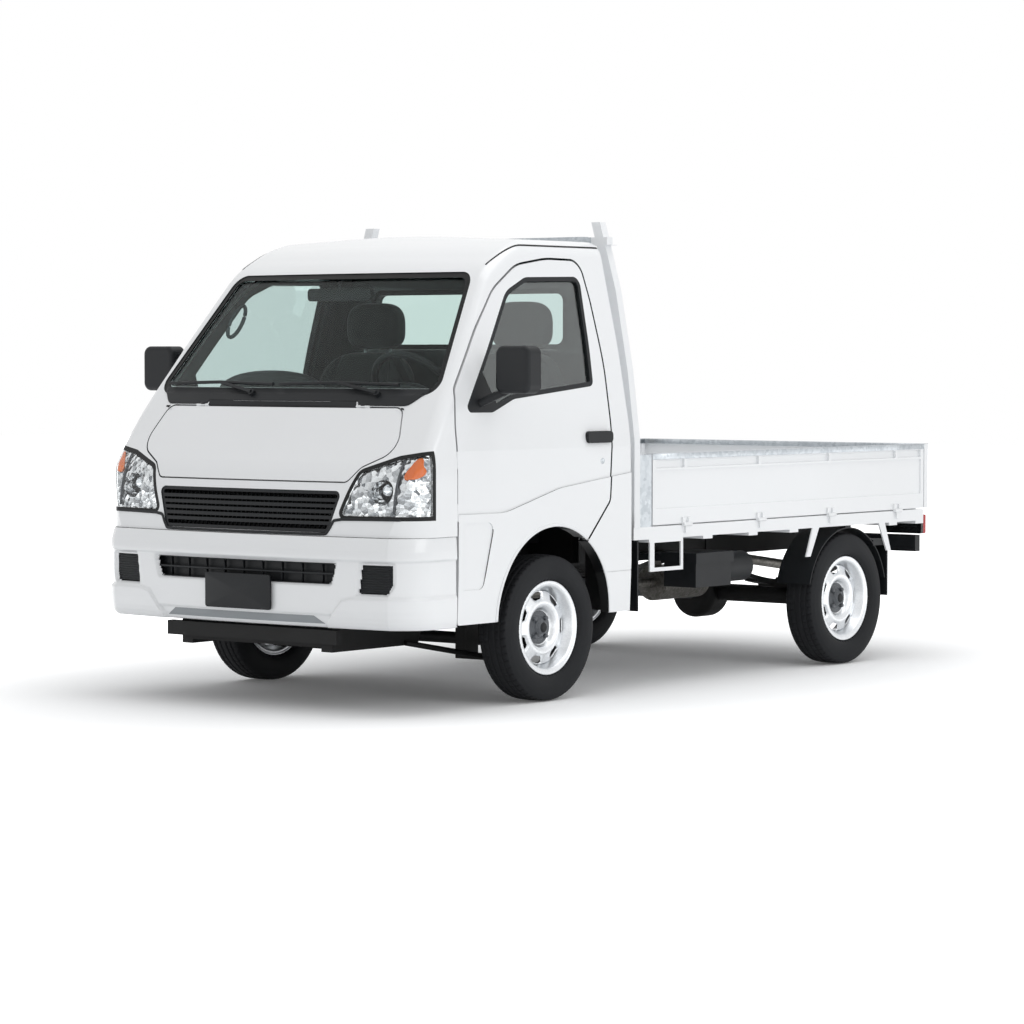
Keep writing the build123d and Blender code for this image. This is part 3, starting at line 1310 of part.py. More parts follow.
latch -= block(
    0, bed_half_width - latch_thickness, latch_front_y, latch_rear_y - latch_thickness, side_rail_high_z,
    gate_top_z)
headboard = block(
    -bed_floor_half_width, bed_floor_half_width, headboard_rear_y - headboard_thickness, headboard_rear_y,
    step_z,
    headboard_top_z)
guard = both_sides(post + latch) + top_rail + low_rail + headboard
guard += block(
    -bed_floor_half_width, bed_floor_half_width, guard_rear_y, headboard_rear_y,
    headboard_top_z - headboard_thickness, headboard_top_z)
write("guard_frame", guard)

# Black guards below the bed: rear mud guards with flaps, splash plates behind the front wheels, the under-run bar.
fender_ring = Circle(fender_radius + fender_thickness) - Circle(fender_radius)
fender_zone = Pos(0, fender_radius * fender_zone_share) * Rectangle(3 * fender_radius, fender_radius)
fender = side_prism(Pos(rear_axle_y, axle_z) * (fender_ring & fender_zone), fender_inner_x, fender_outer_x)
flap_y = rear_axle_y + fender_radius + flap_thickness * 2
fender += block(
    fender_inner_x, fender_outer_x, flap_y - flap_thickness, flap_y, flap_low_z,
    strut_foot_z + strut_plate_width)
fender += block(
    fender_inner_x, fender_outer_x, flap_y - flap_bracket, flap_y, strut_foot_z + strut_plate_width / 2,
    strut_foot_z + strut_plate_width)
fender += block(
    side_rail_inner_x, fender_outer_x, rear_axle_y - hanger_width / 2, rear_axle_y + hanger_width / 2,
    axle_z + fender_radius, side_rail_low_z)
splash = block(
    fender_inner_x, fender_outer_x, splash_front_y, splash_rear_y, cab_bottom_z, side_rail_low_z)
underrun = block(
    -side_rail_inner_x, side_rail_inner_x, rail_rear_y, underrun_rear_y, underrun_low_z, underrun_high_z)
write("underbody_guards", both_sides(fender + splash) + underrun)

# Tail lamps under the rear corners of the bed.
tail_lamp = block(
    tail_lamp_inner_x, tail_lamp_outer_x, rear_sill_rear_y, tail_lamp_rear_y, lamp_low_z, lamp_high_z)
tail_lamp = fillet(tail_lamp.edges().filter_by(Axis.Y), sheet * 2)
write("tail_lamps", both_sides(tail_lamp))
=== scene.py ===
import json
from math import pi, radians
import bmesh
import bpy
import numpy as np
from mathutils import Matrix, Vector


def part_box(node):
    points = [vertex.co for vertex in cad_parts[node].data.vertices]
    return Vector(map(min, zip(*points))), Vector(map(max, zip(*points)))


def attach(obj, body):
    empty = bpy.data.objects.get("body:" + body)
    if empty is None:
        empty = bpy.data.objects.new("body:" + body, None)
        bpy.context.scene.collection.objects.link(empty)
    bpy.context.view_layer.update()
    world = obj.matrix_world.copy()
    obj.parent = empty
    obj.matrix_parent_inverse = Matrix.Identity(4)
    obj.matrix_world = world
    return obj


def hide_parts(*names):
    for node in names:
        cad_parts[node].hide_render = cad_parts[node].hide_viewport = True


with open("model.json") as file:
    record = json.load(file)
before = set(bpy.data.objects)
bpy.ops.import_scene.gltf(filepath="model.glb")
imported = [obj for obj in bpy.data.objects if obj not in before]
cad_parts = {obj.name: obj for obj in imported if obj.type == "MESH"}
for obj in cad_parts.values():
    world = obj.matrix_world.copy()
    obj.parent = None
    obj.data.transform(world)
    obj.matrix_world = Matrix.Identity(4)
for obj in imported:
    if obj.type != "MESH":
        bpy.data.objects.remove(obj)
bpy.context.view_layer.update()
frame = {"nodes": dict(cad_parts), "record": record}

nodes = frame["nodes"]
slotOf = {part["node"]: part["material_slot"] for part in frame["record"]["subparts"]}
mm = 0.001
print("packed truck loaded,", len(nodes), "nodes")


def hexToLinear(code, alpha=1.0):
    # every sRGB channel is turned to linear light by the standard curve
    raw = np.array([int(code[i:i + 2], 16) for i in (1, 3, 5)]) / 255
    linear = np.where(raw <= 0.04045, raw / 12.92, ((raw + 0.055) / 1.055) ** 2.4)
    return (*linear.tolist(), alpha)


def addNode(tree, kind, settings=None, sockets=None):
    # one node with its settings, and each input set to a value or linked to another node's output
    node = tree.nodes.new("ShaderNode" + kind)
    for key, value in (settings or {}).items():
        setattr(node, key, value)
    for key, value in (sockets or {}).items():
        if isinstance(value, bpy.types.NodeSocket):
            tree.links.new(value, node.inputs[key])
        else:
            node.inputs[key].default_value = value
    return node


def newFinish(name, look):
    # a material with one principled shader; returns it with its tree, its shader and the object coordinates
    material = bpy.data.materials.new(name)
    material.use_nodes = True
    tree = material.node_tree
    tree.nodes.clear()
    shader = addNode(tree, "BsdfPrincipled", sockets=look)
    addNode(tree, "OutputMaterial", sockets={"Surface": shader.outputs["BSDF"]})
    return material, tree, shader, addNode(tree, "TexCoord").outputs["Object"]


def wrinkle(tree, shader, height, depth):
    # the height pattern pushes the surface in and out by a depth in metres
    bump = addNode(tree, "Bump", sockets={"Height": height, "Distance": depth, "Strength": 1.0})
    tree.links.new(bump.outputs["Normal"], shader.inputs["Normal"])


enamel = {
    "colour": "#F1F3F5", "dusty": "#D9DBDB", "roughness": 0.34, "coat": 0.8, "coatRoughness": 0.06,
    "peelMm": 5.0, "peelDepth": 0.006 * mm, "dustMm": 900.0,
    "liningColour": "#2B3335", "liningRoughness": 0.8, "cabCentre": (0.0, -0.95, 0.98), "insideBelow": -0.12,
    "edgeColour": "#0B0C0E", "edgeFacing": 0.4, "edgeTopZ": 0.627, "edgeFrontY": -1.33,
}


def enamelFinish(name, lined):
    # baked white enamel on pressed steel: an even gloss with faint orange peel and a little road dust;
    # inside the cab the same panels carry dark moulded lining, told apart by which way they face
    material, tree, shader, place = newFinish(name, {
        "Roughness": enamel["roughness"], "Coat Weight": enamel["coat"],
        "Coat Roughness": enamel["coatRoughness"], "IOR": 1.5})
    peel = addNode(
        tree, "TexNoise", sockets={"Vector": place, "Scale": 1 / (enamel["peelMm"] * mm), "Detail": 1.0})
    wrinkle(tree, shader, peel.outputs["Fac"], enamel["peelDepth"])
    dust = addNode(
        tree, "TexNoise", sockets={"Vector": place, "Scale": 1 / (enamel["dustMm"] * mm), "Detail": 6.0})
    dirt = addNode(tree, "MapRange", sockets={
        "Value": dust.outputs["Fac"], "From Min": 0.45, "From Max": 0.9, "To Max": 0.25})
    colour = addNode(tree, "Mix", {"data_type": "RGBA"}, {
        "Factor": dirt.outputs["Result"], 6: hexToLinear(enamel["colour"]), 7: hexToLinear(enamel["dusty"])})
    if not lined:
        tree.links.new(colour.outputs[2], shader.inputs["Base Color"])
        return material
    fromCentre = addNode(tree, "VectorMath", {"operation": "SUBTRACT"}, {0: place, 1: enamel["cabCentre"]})
    facing = addNode(tree, "TexCoord").outputs["Normal"]
    outward = addNode(tree, "VectorMath", {"operation": "DOT_PRODUCT"}, {0: fromCentre.outputs[0], 1: facing})
    inside = addNode(
        tree, "Math", {"operation": "LESS_THAN"}, {0: outward.outputs["Value"], 1: enamel["insideBelow"]})
    lining = addNode(tree, "Mix", {"data_type": "RGBA"}, {
        "Factor": inside.outputs[0], 6: colour.outputs[2], 7: hexToLinear(enamel["liningColour"])})
    # the cut edges of the wheel arches and the sill face fore, aft or down below the floor, and are black
    spot = addNode(tree, "SeparateXYZ", sockets={0: place})
    turned = addNode(tree, "SeparateXYZ", sockets={0: facing})
    sideways = addNode(tree, "Math", {"operation": "ABSOLUTE"}, {0: turned.outputs["X"]})
    cut = addNode(tree, "Math", {"operation": "LESS_THAN"}, {0: sideways.outputs[0], 1: enamel["edgeFacing"]})
    low = addNode(tree, "Math", {"operation": "LESS_THAN"}, {0: spot.outputs["Z"], 1: enamel["edgeTopZ"]})
    behind = addNode(
        tree, "Math", {"operation": "GREATER_THAN"}, {0: spot.outputs["Y"], 1: enamel["edgeFrontY"]})
    edge = addNode(tree, "Math", {"operation": "MULTIPLY"}, {0: cut.outputs[0], 1: low.outputs[0]})
    edge = addNode(tree, "Math", {"operation": "MULTIPLY"}, {0: edge.outputs[0], 1: behind.outputs[0]})
    blackened = addNode(tree, "Mix", {"data_type": "RGBA"}, {
        "Factor": edge.outputs[0], 6: lining.outputs[2], 7: hexToLinear(enamel["edgeColour"])})
    tree.links.new(blackened.outputs[2], shader.inputs["Base Color"])
    matt = addNode(tree, "MapRange", sockets={
        "Value": inside.outputs[0], "To Min": enamel["roughness"], "To Max": enamel["liningRoughness"]})
    tree.links.new(matt.outputs["Result"], shader.inputs["Roughness"])
    return material


def grainFinish(name, colour, roughness, grainMm, depth, wearColour, sheen=0.5):
    # moulded plastic, cast metal or rubber: one deep colour, a cell grain and slightly uneven gloss
    material, tree, shader, place = newFinish(name, {"IOR": 1.5, "Specular IOR Level": sheen})
    grain = addNode(tree, "TexVoronoi", sockets={"Vector": place, "Scale": 1 / (grainMm * mm)})
    wrinkle(tree, shader, grain.outputs["Distance"], depth)
    cloud = addNode(tree, "TexNoise", sockets={"Vector": place, "Scale": 9.0, "Detail": 5.0})
    tone = addNode(tree, "Mix", {"data_type": "RGBA"}, {
        "Factor": cloud.outputs["Fac"], 6: hexToLinear(colour), 7: hexToLinear(wearColour)})
    tree.links.new(tone.outputs[2], shader.inputs["Base Color"])
    gloss = addNode(tree, "MapRange", sockets={
        "Value": cloud.outputs["Fac"], "To Min": roughness - 0.08, "To Max": roughness + 0.08})
    tree.links.new(gloss.outputs["Result"], shader.inputs["Roughness"])
    return material


def metalFinish(name, colours, roughness, spangleMm, depth=0.0):
    # zinc coated or machined metal: crystal cells differ a little in tone and gloss
    material, tree, shader, place = newFinish(name, {"Metallic": 1.0})
    cell = addNode(tree, "TexVoronoi", sockets={"Vector": place, "Scale": 1 / (spangleMm * mm)})
    tone = addNode(tree, "Mix", {"data_type": "RGBA"}, {
        "Factor": cell.outputs["Color"], 6: hexToLinear(colours[0]), 7: hexToLinear(colours[1])})
    tree.links.new(tone.outputs[2], shader.inputs["Base Color"])
    gloss = addNode(tree, "MapRange", sockets={
        "Value": cell.outputs["Color"], "To Min": roughness - 0.07, "To Max": roughness + 0.07})
    tree.links.new(gloss.outputs["Result"], shader.inputs["Roughness"])
    if depth:
        wrinkle(tree, shader, cell.outputs["Distance"], depth)
    return material


def clearFinish(name, colour, roughness, ior):
    # glass or clear polycarbonate: light goes through with a slight tint
    material, tree, shader, place = newFinish(name, {
        "Base Color": hexToLinear(colour), "Transmission Weight": 1.0, "IOR": ior})
    film = addNode(tree, "TexNoise", sockets={"Vector": place, "Scale": 3.0, "Detail": 3.0})
    haze = addNode(tree, "MapRange", sockets={
        "Value": film.outputs["Fac"], "To Min": roughness, "To Max": roughness + 0.015})
    tree.links.new(haze.outputs["Result"], shader.inputs["Roughness"])
    return material


def clothFinish(name, colour, lightThread, threadMm):
    # woven polyester: two crossed sets of threads, drawn coarser than life so that they show
    material, tree, shader, place = newFinish(
        name, {"Roughness": 0.9, "Sheen Weight": 0.25, "Sheen Roughness": 0.5})
    warp = addNode(
        tree, "TexWave", {"bands_direction": "X"}, {"Vector": place, "Scale": 1 / (threadMm * mm) / 20 * pi})
    weft = addNode(
        tree, "TexWave", {"bands_direction": "Z"}, {"Vector": place, "Scale": 1 / (threadMm * mm) / 20 * pi})
    weave = addNode(tree, "Math", {"operation": "MULTIPLY"}, {0: warp.outputs["Fac"], 1: weft.outputs["Fac"]})
    tone = addNode(tree, "Mix", {"data_type": "RGBA"}, {
        "Factor": weave.outputs[0], 6: hexToLinear(colour), 7: hexToLinear(lightThread)})
    tree.links.new(tone.outputs[2], shader.inputs["Base Color"])
    wrinkle(tree, shader, weave.outputs[0], 0.1 * mm)
    return material


bodyEnamel = enamelFinish("whiteEnamel", False)
cabEnamel = enamelFinish("whiteEnamelLined", True)
blackMoulding = grainFinish("blackPolypropylene", "#15171A", 0.5, 1.6, 0.05 * mm, "#1B1E21", 0.3)
lightMoulding = grainFinish("greyPolypropylene", "#3E4A4D", 0.6, 1.6, 0.05 * mm, "#475457", 0.3)
chassisBlack = grainFinish("chassisBlackPaint", "#0B0C0E", 0.6, 5.0, 0.05 * mm, "#141414", 0.3)
castIron = grainFinish("castAluminium", "#55575A", 0.55, 2.5, 0.1 * mm, "#3C3E40")
tyreRubber = grainFinish("vulcanisedRubber", "#101215", 0.75, 1.2, 0.04 * mm, "#17191D", 0.35)
sealRubber = grainFinish("epdmSeal", "#060708", 0.5, 1.0, 0.02 * mm, "#0B0C0D", 0.3)
wheelSteel = metalFinish("silverWheelPaint", ("#ECEEF0", "#DDE0E3"), 0.34, 4.0)
hubSteel = grainFinish("bareHubSteel", "#6C7075", 0.4, 6.0, 1.2 * mm, "#3A3D41")
zincSteel = metalFinish("galvanisedSteel", ("#C9CED2", "#AEB4B9"), 0.42, 14.0)
pipeSteel = metalFinish("aluminisedSteel", ("#8C8A86", "#6E6B66"), 0.5, 9.0)
lampChrome = metalFinish("metallisedReflector", ("#FFFFFF", "#4A4F55"), 0.12, 19.0, 6.0 * mm)
polishedGlass = metalFinish("mirrorSilver", ("#E9ECEE", "#E2E5E7"), 0.09, 60.0)
screenGlass = clearFinish("laminatedScreenGlass", "#E0EDEA", 0.0, 1.2)
sideGlass = clearFinish("greenFloatGlass", "#DCE8E7", 0.0, 1.7)
clearLens = clearFinish("clearPolycarbonate", "#FAFCFD", 0.01, 1.3)
amberLens = grainFinish("amberAcrylic", "#F5821A", 0.2, 7.0, 0.8 * mm, "#D9570E")
seatCloth = clothFinish("wovenSeatCloth", "#10171A", "#151E21", 3.0)
# grey for the bumper's chin: painted shade on its recessed foot
chinShadeGrey = grainFinish("paintedChinShade", "#8F9498", 0.4, 4.0, 0.01 * mm, "#989DA1")


tailLook = {"lensFrontY": 1.6655, "cellMm": 9.0, "cellDepth": 0.6 * mm}
guardLook = {"postX": 0.5255, "postBackY": -0.3145, "spangleMm": 14.0, "gloss": (0.34, 0.46)}


def tailFinish():
    # red acrylic at the rear of the lamp; the rest of the lamp is its black moulded housing
    material, tree, shader, place = newFinish("redAcrylicInHousing", {"IOR": 1.49, "Roughness": 0.25})
    fromFront = addNode(tree, "SeparateXYZ", sockets={0: place})
    isLens = addNode(
        tree, "Math", {"operation": "GREATER_THAN"}, {0: fromFront.outputs["Y"], 1: tailLook["lensFrontY"]})
    cells = addNode(tree, "TexVoronoi", sockets={"Vector": place, "Scale": 1 / (tailLook["cellMm"] * mm)})
    red = addNode(tree, "Mix", {"data_type": "RGBA"}, {
        "Factor": cells.outputs["Distance"], 6: hexToLinear("#C3161C"), 7: hexToLinear("#8E0D12")})
    tone = addNode(tree, "Mix", {"data_type": "RGBA"}, {
        "Factor": isLens.outputs[0], 6: hexToLinear("#101214"), 7: red.outputs[2]})
    tree.links.new(tone.outputs[2], shader.inputs["Base Color"])
    wrinkle(tree, shader, cells.outputs["Distance"], tailLook["cellDepth"])
    return material


def guardFinish():
    # the guard's two posts are painted white like the cab; its rail and headboard are bare galvanised steel
    material, tree, shader, place = newFinish("galvanisedAndPaintedSteel", {})
    spot = addNode(tree, "SeparateXYZ", sockets={0: place})
    out = addNode(tree, "Math", {"operation": "ABSOLUTE"}, {0: spot.outputs["X"]})
    wide = addNode(tree, "Math", {"operation": "GREATER_THAN"}, {0: out.outputs[0], 1: guardLook["postX"]})
    fore = addNode(
        tree, "Math", {"operation": "LESS_THAN"}, {0: spot.outputs["Y"], 1: guardLook["postBackY"]})
    post = addNode(tree, "Math", {"operation": "MULTIPLY"}, {0: wide.outputs[0], 1: fore.outputs[0]})
    cell = addNode(tree, "TexVoronoi", sockets={"Vector": place, "Scale": 1 / (guardLook["spangleMm"] * mm)})
    zinc = addNode(tree, "Mix", {"data_type": "RGBA"}, {
        "Factor": cell.outputs["Color"], 6: hexToLinear("#C9CED2"), 7: hexToLinear("#AEB4B9")})
    tone = addNode(tree, "Mix", {"data_type": "RGBA"}, {
        "Factor": post.outputs[0], 6: zinc.outputs[2], 7: hexToLinear(enamel["colour"])})
    tree.links.new(tone.outputs[2], shader.inputs["Base Color"])
    bare = addNode(tree, "MapRange", sockets={"Value": post.outputs[0], "To Min": 1.0, "To Max": 0.0})
    tree.links.new(bare.outputs["Result"], shader.inputs["Metallic"])
    gloss = addNode(
        tree, "MapRange", sockets={"Value": cell.outputs["Color"], "To Min": guardLook["gloss"][0],
        "To Max": guardLook["gloss"][1]})
    tree.links.new(gloss.outputs["Result"], shader.inputs["Roughness"])
    return material


guardSteel = guardFinish()
finishes = {
    "white_paint": bodyEnamel, "black_underbody": chassisBlack, "engine_metal": castIron,
    "rim_paint": wheelSteel, "tyre_rubber": tyreRubber, "black_plastic": blackMoulding,
    "tinted_glass": screenGlass, "seal_rubber": sealRubber, "lamp_lens": clearLens,
    "lamp_reflector": lampChrome, "seat_cloth": seatCloth, "galvanised": zincSteel,
    "exhaust_steel": pipeSteel, "tail_lens": tailFinish(),
}
linedPanels = (
    "cab_side_left", "cab_side_right", "roof_panel", "cab_rear_panel", "front_body", "door_left",
    "door_right")
for name, node in nodes.items():
    finish = cabEnamel if name in linedPanels else finishes[slotOf[name]]
    if name.startswith("door_glass"):
        finish = sideGlass
    if name == "guard_frame":
        finish = guardSteel
    node.data.materials.clear()
    node.data.materials.append(finish)
print("finishes made and given to the packed nodes")


def gridFaces(rows, columns, closeRows=False, closeColumns=False):
    # the four corners of every cell of a grid of points, row by row
    rowSteps = np.arange(rows if closeRows else rows - 1)
    columnSteps = np.arange(columns if closeColumns else columns - 1)
    row, column = np.meshgrid(rowSteps, columnSteps, indexing="ij")
    nextRow, nextColumn = (row + 1) % rows, (column + 1) % columns
    corners = [row * columns + column, row * columns + nextColumn, nextRow * columns + nextColumn,
               nextRow * columns + column]
    return np.stack(corners, axis=-1).reshape(-1, 4)


def addPiece(name, points, faces, finish, body, slot, smooth=True, outward=None):
    # points in metres in the truck's frame, and faces of four corners; doubles are merged, points that no
    # face uses are dropped, and an open sheet is turned so that it faces outward
    used, corner = np.unique(np.asarray(faces), return_inverse=True)
    points = np.asarray(points, float).reshape(-1, 3)[used]
    mesh = bpy.data.meshes.new(name)
    mesh.from_pydata(points.tolist(), [], corner.reshape(-1, 4).tolist())
    work = bmesh.new()
    work.from_mesh(mesh)
    bmesh.ops.remove_doubles(work, verts=work.verts, dist=1e-6)
    bmesh.ops.recalc_face_normals(work, faces=work.faces)
    work.normal_update()
    if outward is not None:
        lean = sum((face.normal.dot(Vector(outward)) for face in work.faces), 0.0)
        if lean < 0:
            bmesh.ops.reverse_faces(work, faces=work.faces)
    work.to_mesh(mesh)
    work.free()
    mesh.polygons.foreach_set("use_smooth", np.full(len(mesh.polygons), smooth))
    piece = bpy.data.objects.new(name, mesh)
    bpy.context.scene.collection.objects.link(piece)
    mesh.materials.append(finish)
    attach(piece, body)
    return piece


def joined(parts):
    # several (points, faces) pairs as one
    points, faces, count = [], [], 0
    for somePoints, someFaces in parts:
        flat = np.asarray(somePoints, float).reshape(-1, 3)
        points.append(flat)
        faces.append(np.asarray(someFaces) + count)
        count += len(flat)
    return np.concatenate(points), np.concatenate(faces)


def lathe(profile, centre, axis, steps=48):
    # a profile of (along the axis, out from it) turned once round an axis through a centre
    along, out = np.asarray(profile, float).T
    turn = np.linspace(0, 2 * pi, steps, endpoint=False)
    axis = np.asarray(axis, float) / np.linalg.norm(axis)
    side = np.cross(axis, (0.0, 0.0, 1.0) if abs(axis[2]) < 0.9 else (1.0, 0.0, 0.0))
    side /= np.linalg.norm(side)
    other = np.cross(axis, side)
    ring = np.cos(turn)[:, None] * side + np.sin(turn)[:, None] * other
    points = np.asarray(centre) + along[None, :, None] * axis + out[None, :, None] * ring[:, None, :]
    return points, gridFaces(steps, len(along), closeRows=True)


def sweep(profile, path, closed=False, side=None):
    # a closed outline of (across, up) carried along a path, upright or with its width kept along a side, and
    # capped at its ends when open
    path = np.asarray(path, float)
    run = np.gradient(path, axis=0) if not closed else np.roll(path, -1, 0) - np.roll(path, 1, 0)
    run /= np.linalg.norm(run, axis=1, keepdims=True)
    across = np.cross(run, np.where(np.abs(run[:, 2:]) > 0.9, (0.0, 1.0, 0.0), (0.0, 0.0, 1.0)))
    if side is not None:
        across = np.tile(np.asarray(side, float), (len(run), 1))
    across /= np.linalg.norm(across, axis=1, keepdims=True)
    up = np.cross(across, run)
    profile = np.asarray(profile, float)
    points = path[:, None, :] + profile[None, :, :1] * across[:, None, :] + profile[None, :, 1:] * up[
        :, None, :]
    if not closed:  # each end closes in its middle
        first, last = points[:1].mean(1, keepdims=True), points[-1:].mean(1, keepdims=True)
        points = np.concatenate([first.repeat(len(profile), 1), points, last.repeat(len(profile), 1)])
    return points, gridFaces(len(points), len(profile), closeRows=closed, closeColumns=True)


def denser(profile, count):
    # the same profile with evenly spaced points along it
    length = np.concatenate([[0], np.cumsum(np.linalg.norm(np.diff(profile, axis=0), axis=1))])
    spots = np.linspace(0, length[-1], count)
    return np.stack([np.interp(spots, length, profile[:, 0]), np.interp(spots, length, profile[:, 1])], -1)


def roundedBar(width, height, radius, corner=4):
    # outline of a rectangle with rounded corners, as quarter turns round four centres
    turn = np.linspace(0, pi / 2, corner)
    quarters = []
    for number, (sideX, sideY) in enumerate(((1, 1), (-1, 1), (-1, -1), (1, -1))):
        angle = turn + number * pi / 2
        quarters.append(np.stack([
            sideX * (width / 2 - radius) + radius * np.cos(angle),
            sideY * (height / 2 - radius) + radius * np.sin(angle)], axis=-1))
    return np.concatenate(quarters)


def pillow(centre, half, squareness=(0.45, 0.4), shape=None, steps=(48, 72)):
    # a crowned box: the sine and cosine of two angles raised to a power below one, then shaped further
    v = np.linspace(-pi / 2, pi / 2, steps[0])[:, None]
    u = np.linspace(0, 2 * pi, steps[1], endpoint=False)[None, :]
    bend = lambda value, power: np.sign(value) * np.abs(value) ** power
    x = bend(np.cos(v), squareness[0]) * bend(np.cos(u), squareness[1])
    y = bend(np.cos(v), squareness[0]) * bend(np.sin(u), squareness[1])
    z = bend(np.sin(v), squareness[0]) * np.ones_like(u)
    points = np.stack([x * half[0], y * half[1], z * half[2]], axis=-1)
    if shape:
        points = shape(points, half)
    return points + np.asarray(centre), gridFaces(*steps, closeColumns=True)


def bothSides(part):
    points, faces = part
    return joined([(points, faces), (np.asarray(points) * (-1, 1, 1), faces)])


def ramp(value, start, end):
    # 0 before start, 1 after end, with a soft S between
    share = np.clip((value - start) / (end - start), 0, 1)
    return share * share * (3 - 2 * share)


def inside(soft, *planes):
    # distance out of a rounded opening: the soft maximum of the distances from its sides, negative inside
    stack = np.stack(np.broadcast_arrays(*planes)) / soft
    top = stack.max(0)
    return soft * (top + np.log(np.exp(stack - top).sum(0)))


def slab(outline, frontY, backY, bevel):
    # an outline in x and z drawn back in y: a flat front with a rounded edge, straight sides and a flat back
    outline = np.asarray(outline, float)
    middle = outline.mean(0)
    pulled = outline - bevel * np.sign(outline - middle)
    rings = [
        (middle + 0 * outline, frontY), (pulled, frontY),
        (outline - 0.3 * (outline - pulled), frontY + 0.3 * bevel),
             (outline, frontY + bevel), (outline, backY), (middle + 0 * outline, backY)]
    points = np.stack([np.stack([ring[:, 0], np.full(len(ring), y), ring[:, 1]], -1) for ring, y in rings])
    return points, gridFaces(len(rings), len(outline), closeColumns=True)


# tyres and wheels
tyreLook = {
    "grooves": (-36 * mm, -13 * mm, 13 * mm, 36 * mm), "grooveWidth": 3.2 * mm, "grooveDepth": 6.5 * mm,
    "sipes": 58, "sipeShare": 0.17, "sipeDepth": 4.0 * mm, "around": 580,
}
tyreOutline = np.array([  # (from the middle, from the axle) over one half of the section, bead to crown
    (47.2, 152.6), (47.2, 168.6), (52, 172), (59, 178), (65, 190), (67.6, 205), (67.6, 220), (65.5, 234),
    (62, 246), (58.5, 253.5), (54, 257.6), (40, 259.8), (20, 260.7), (0, 261)]) * mm


def tyreShape(axleX, axleY, axleZ):
    # the section is spaced finely over the tread, then turned round the axle with grooves cut into it
    whole = np.concatenate([tyreOutline * (-1, 1), tyreOutline[-2::-1]])
    length = np.concatenate([[0], np.cumsum(np.linalg.norm(np.diff(whole, axis=0), axis=1))])
    spots = np.concatenate([
        np.linspace(0, 0.30, 22, endpoint=False), np.linspace(0.30, 0.70, 84, endpoint=False),
        np.linspace(0.70, 1, 22)]) * length[-1]
    x, r = np.interp(spots, length, whole[:, 0]), np.interp(spots, length, whole[:, 1])
    turn = np.linspace(0, 2 * pi, tyreLook["around"], endpoint=False)[:, None]
    depth = np.zeros((len(turn), len(x)))
    for groove in tyreLook["grooves"]:
        depth = np.maximum(depth, tyreLook["grooveDepth"] * (np.abs(x - groove) < tyreLook["grooveWidth"]))
    onTread = (np.abs(x) < 57 * mm) & (np.abs(x) > 15 * mm)
    slant = 0.35 * np.sign(x) * np.abs(x) / (57 * mm)
    phase = (turn * tyreLook["sipes"] / (2 * pi) + slant) % 1.0
    shoulder = np.where(np.abs(x) > 38 * mm, 1.0, 0.6)
    depth = np.maximum(depth, tyreLook["sipeDepth"] * shoulder * onTread * (phase < tyreLook["sipeShare"]))
    rings = 0.9 * mm * (np.abs(r - 186 * mm) < 1.6 * mm) + 0.7 * mm * (np.abs(r - 236 * mm) < 1.6 * mm)
    outX = x + np.sign(x) * rings * (np.abs(x) > 50 * mm)
    radius = r[None, :] - depth
    points = np.stack([
        axleX + outX[None, :] * np.ones_like(turn), axleY + radius * np.cos(turn),
        axleZ + radius * np.sin(turn)], -1)
    return points, gridFaces(len(turn), len(x), closeRows=True, closeColumns=True)


rimLook = {
    "vents": 7, "ventRadius": 115 * mm, "ventHalfDepth": 14.5 * mm, "ventHalfWidth": 26 * mm,
    "ventPinch": 0.45,
    "around": 308, "wall": 3.0 * mm, "nuts": 4, "nutCircle": 44 * mm,
}
rimBarrel = np.array([  # (out from the middle plane, from the axle), inner flange to outer flange
    (-52, 160), (-52, 166), (-49.5, 167.6), (-48.2, 166), (-47.7, 153), (-44, 147.5), (-27, 146.5),
    (-14, 131),
    (10, 131), (24, 146.5), (42, 147.5), (47, 153), (47.9, 165), (49.5, 167.8), (51.2, 167.4), (52, 165.5),
    (51.4, 163.6), (49.6, 162), (48.6, 154), (44.5, 149.5)]) * mm
rimDish = np.array([
    (13, 130.8), (17, 130), (19, 126), (21.5, 118), (24.5, 109), (28, 100), (30, 93), (30, 86), (27.5, 78),
    (21.5, 71.5), (14.5, 67), (9.5, 63), (7, 58)]) * mm
hubCup = np.array([
    (8.5, 60), (7, 57), (9, 53), (8.5, 47), (11.5, 42), (10.5, 36), (14, 32), (19, 30.5), (22, 27), (25, 26),
    (29, 22), (30.5, 18), (30, 8), (31, 0)]) * mm
wheelNames = ("front_left", "front_right", "rear_left", "rear_right")


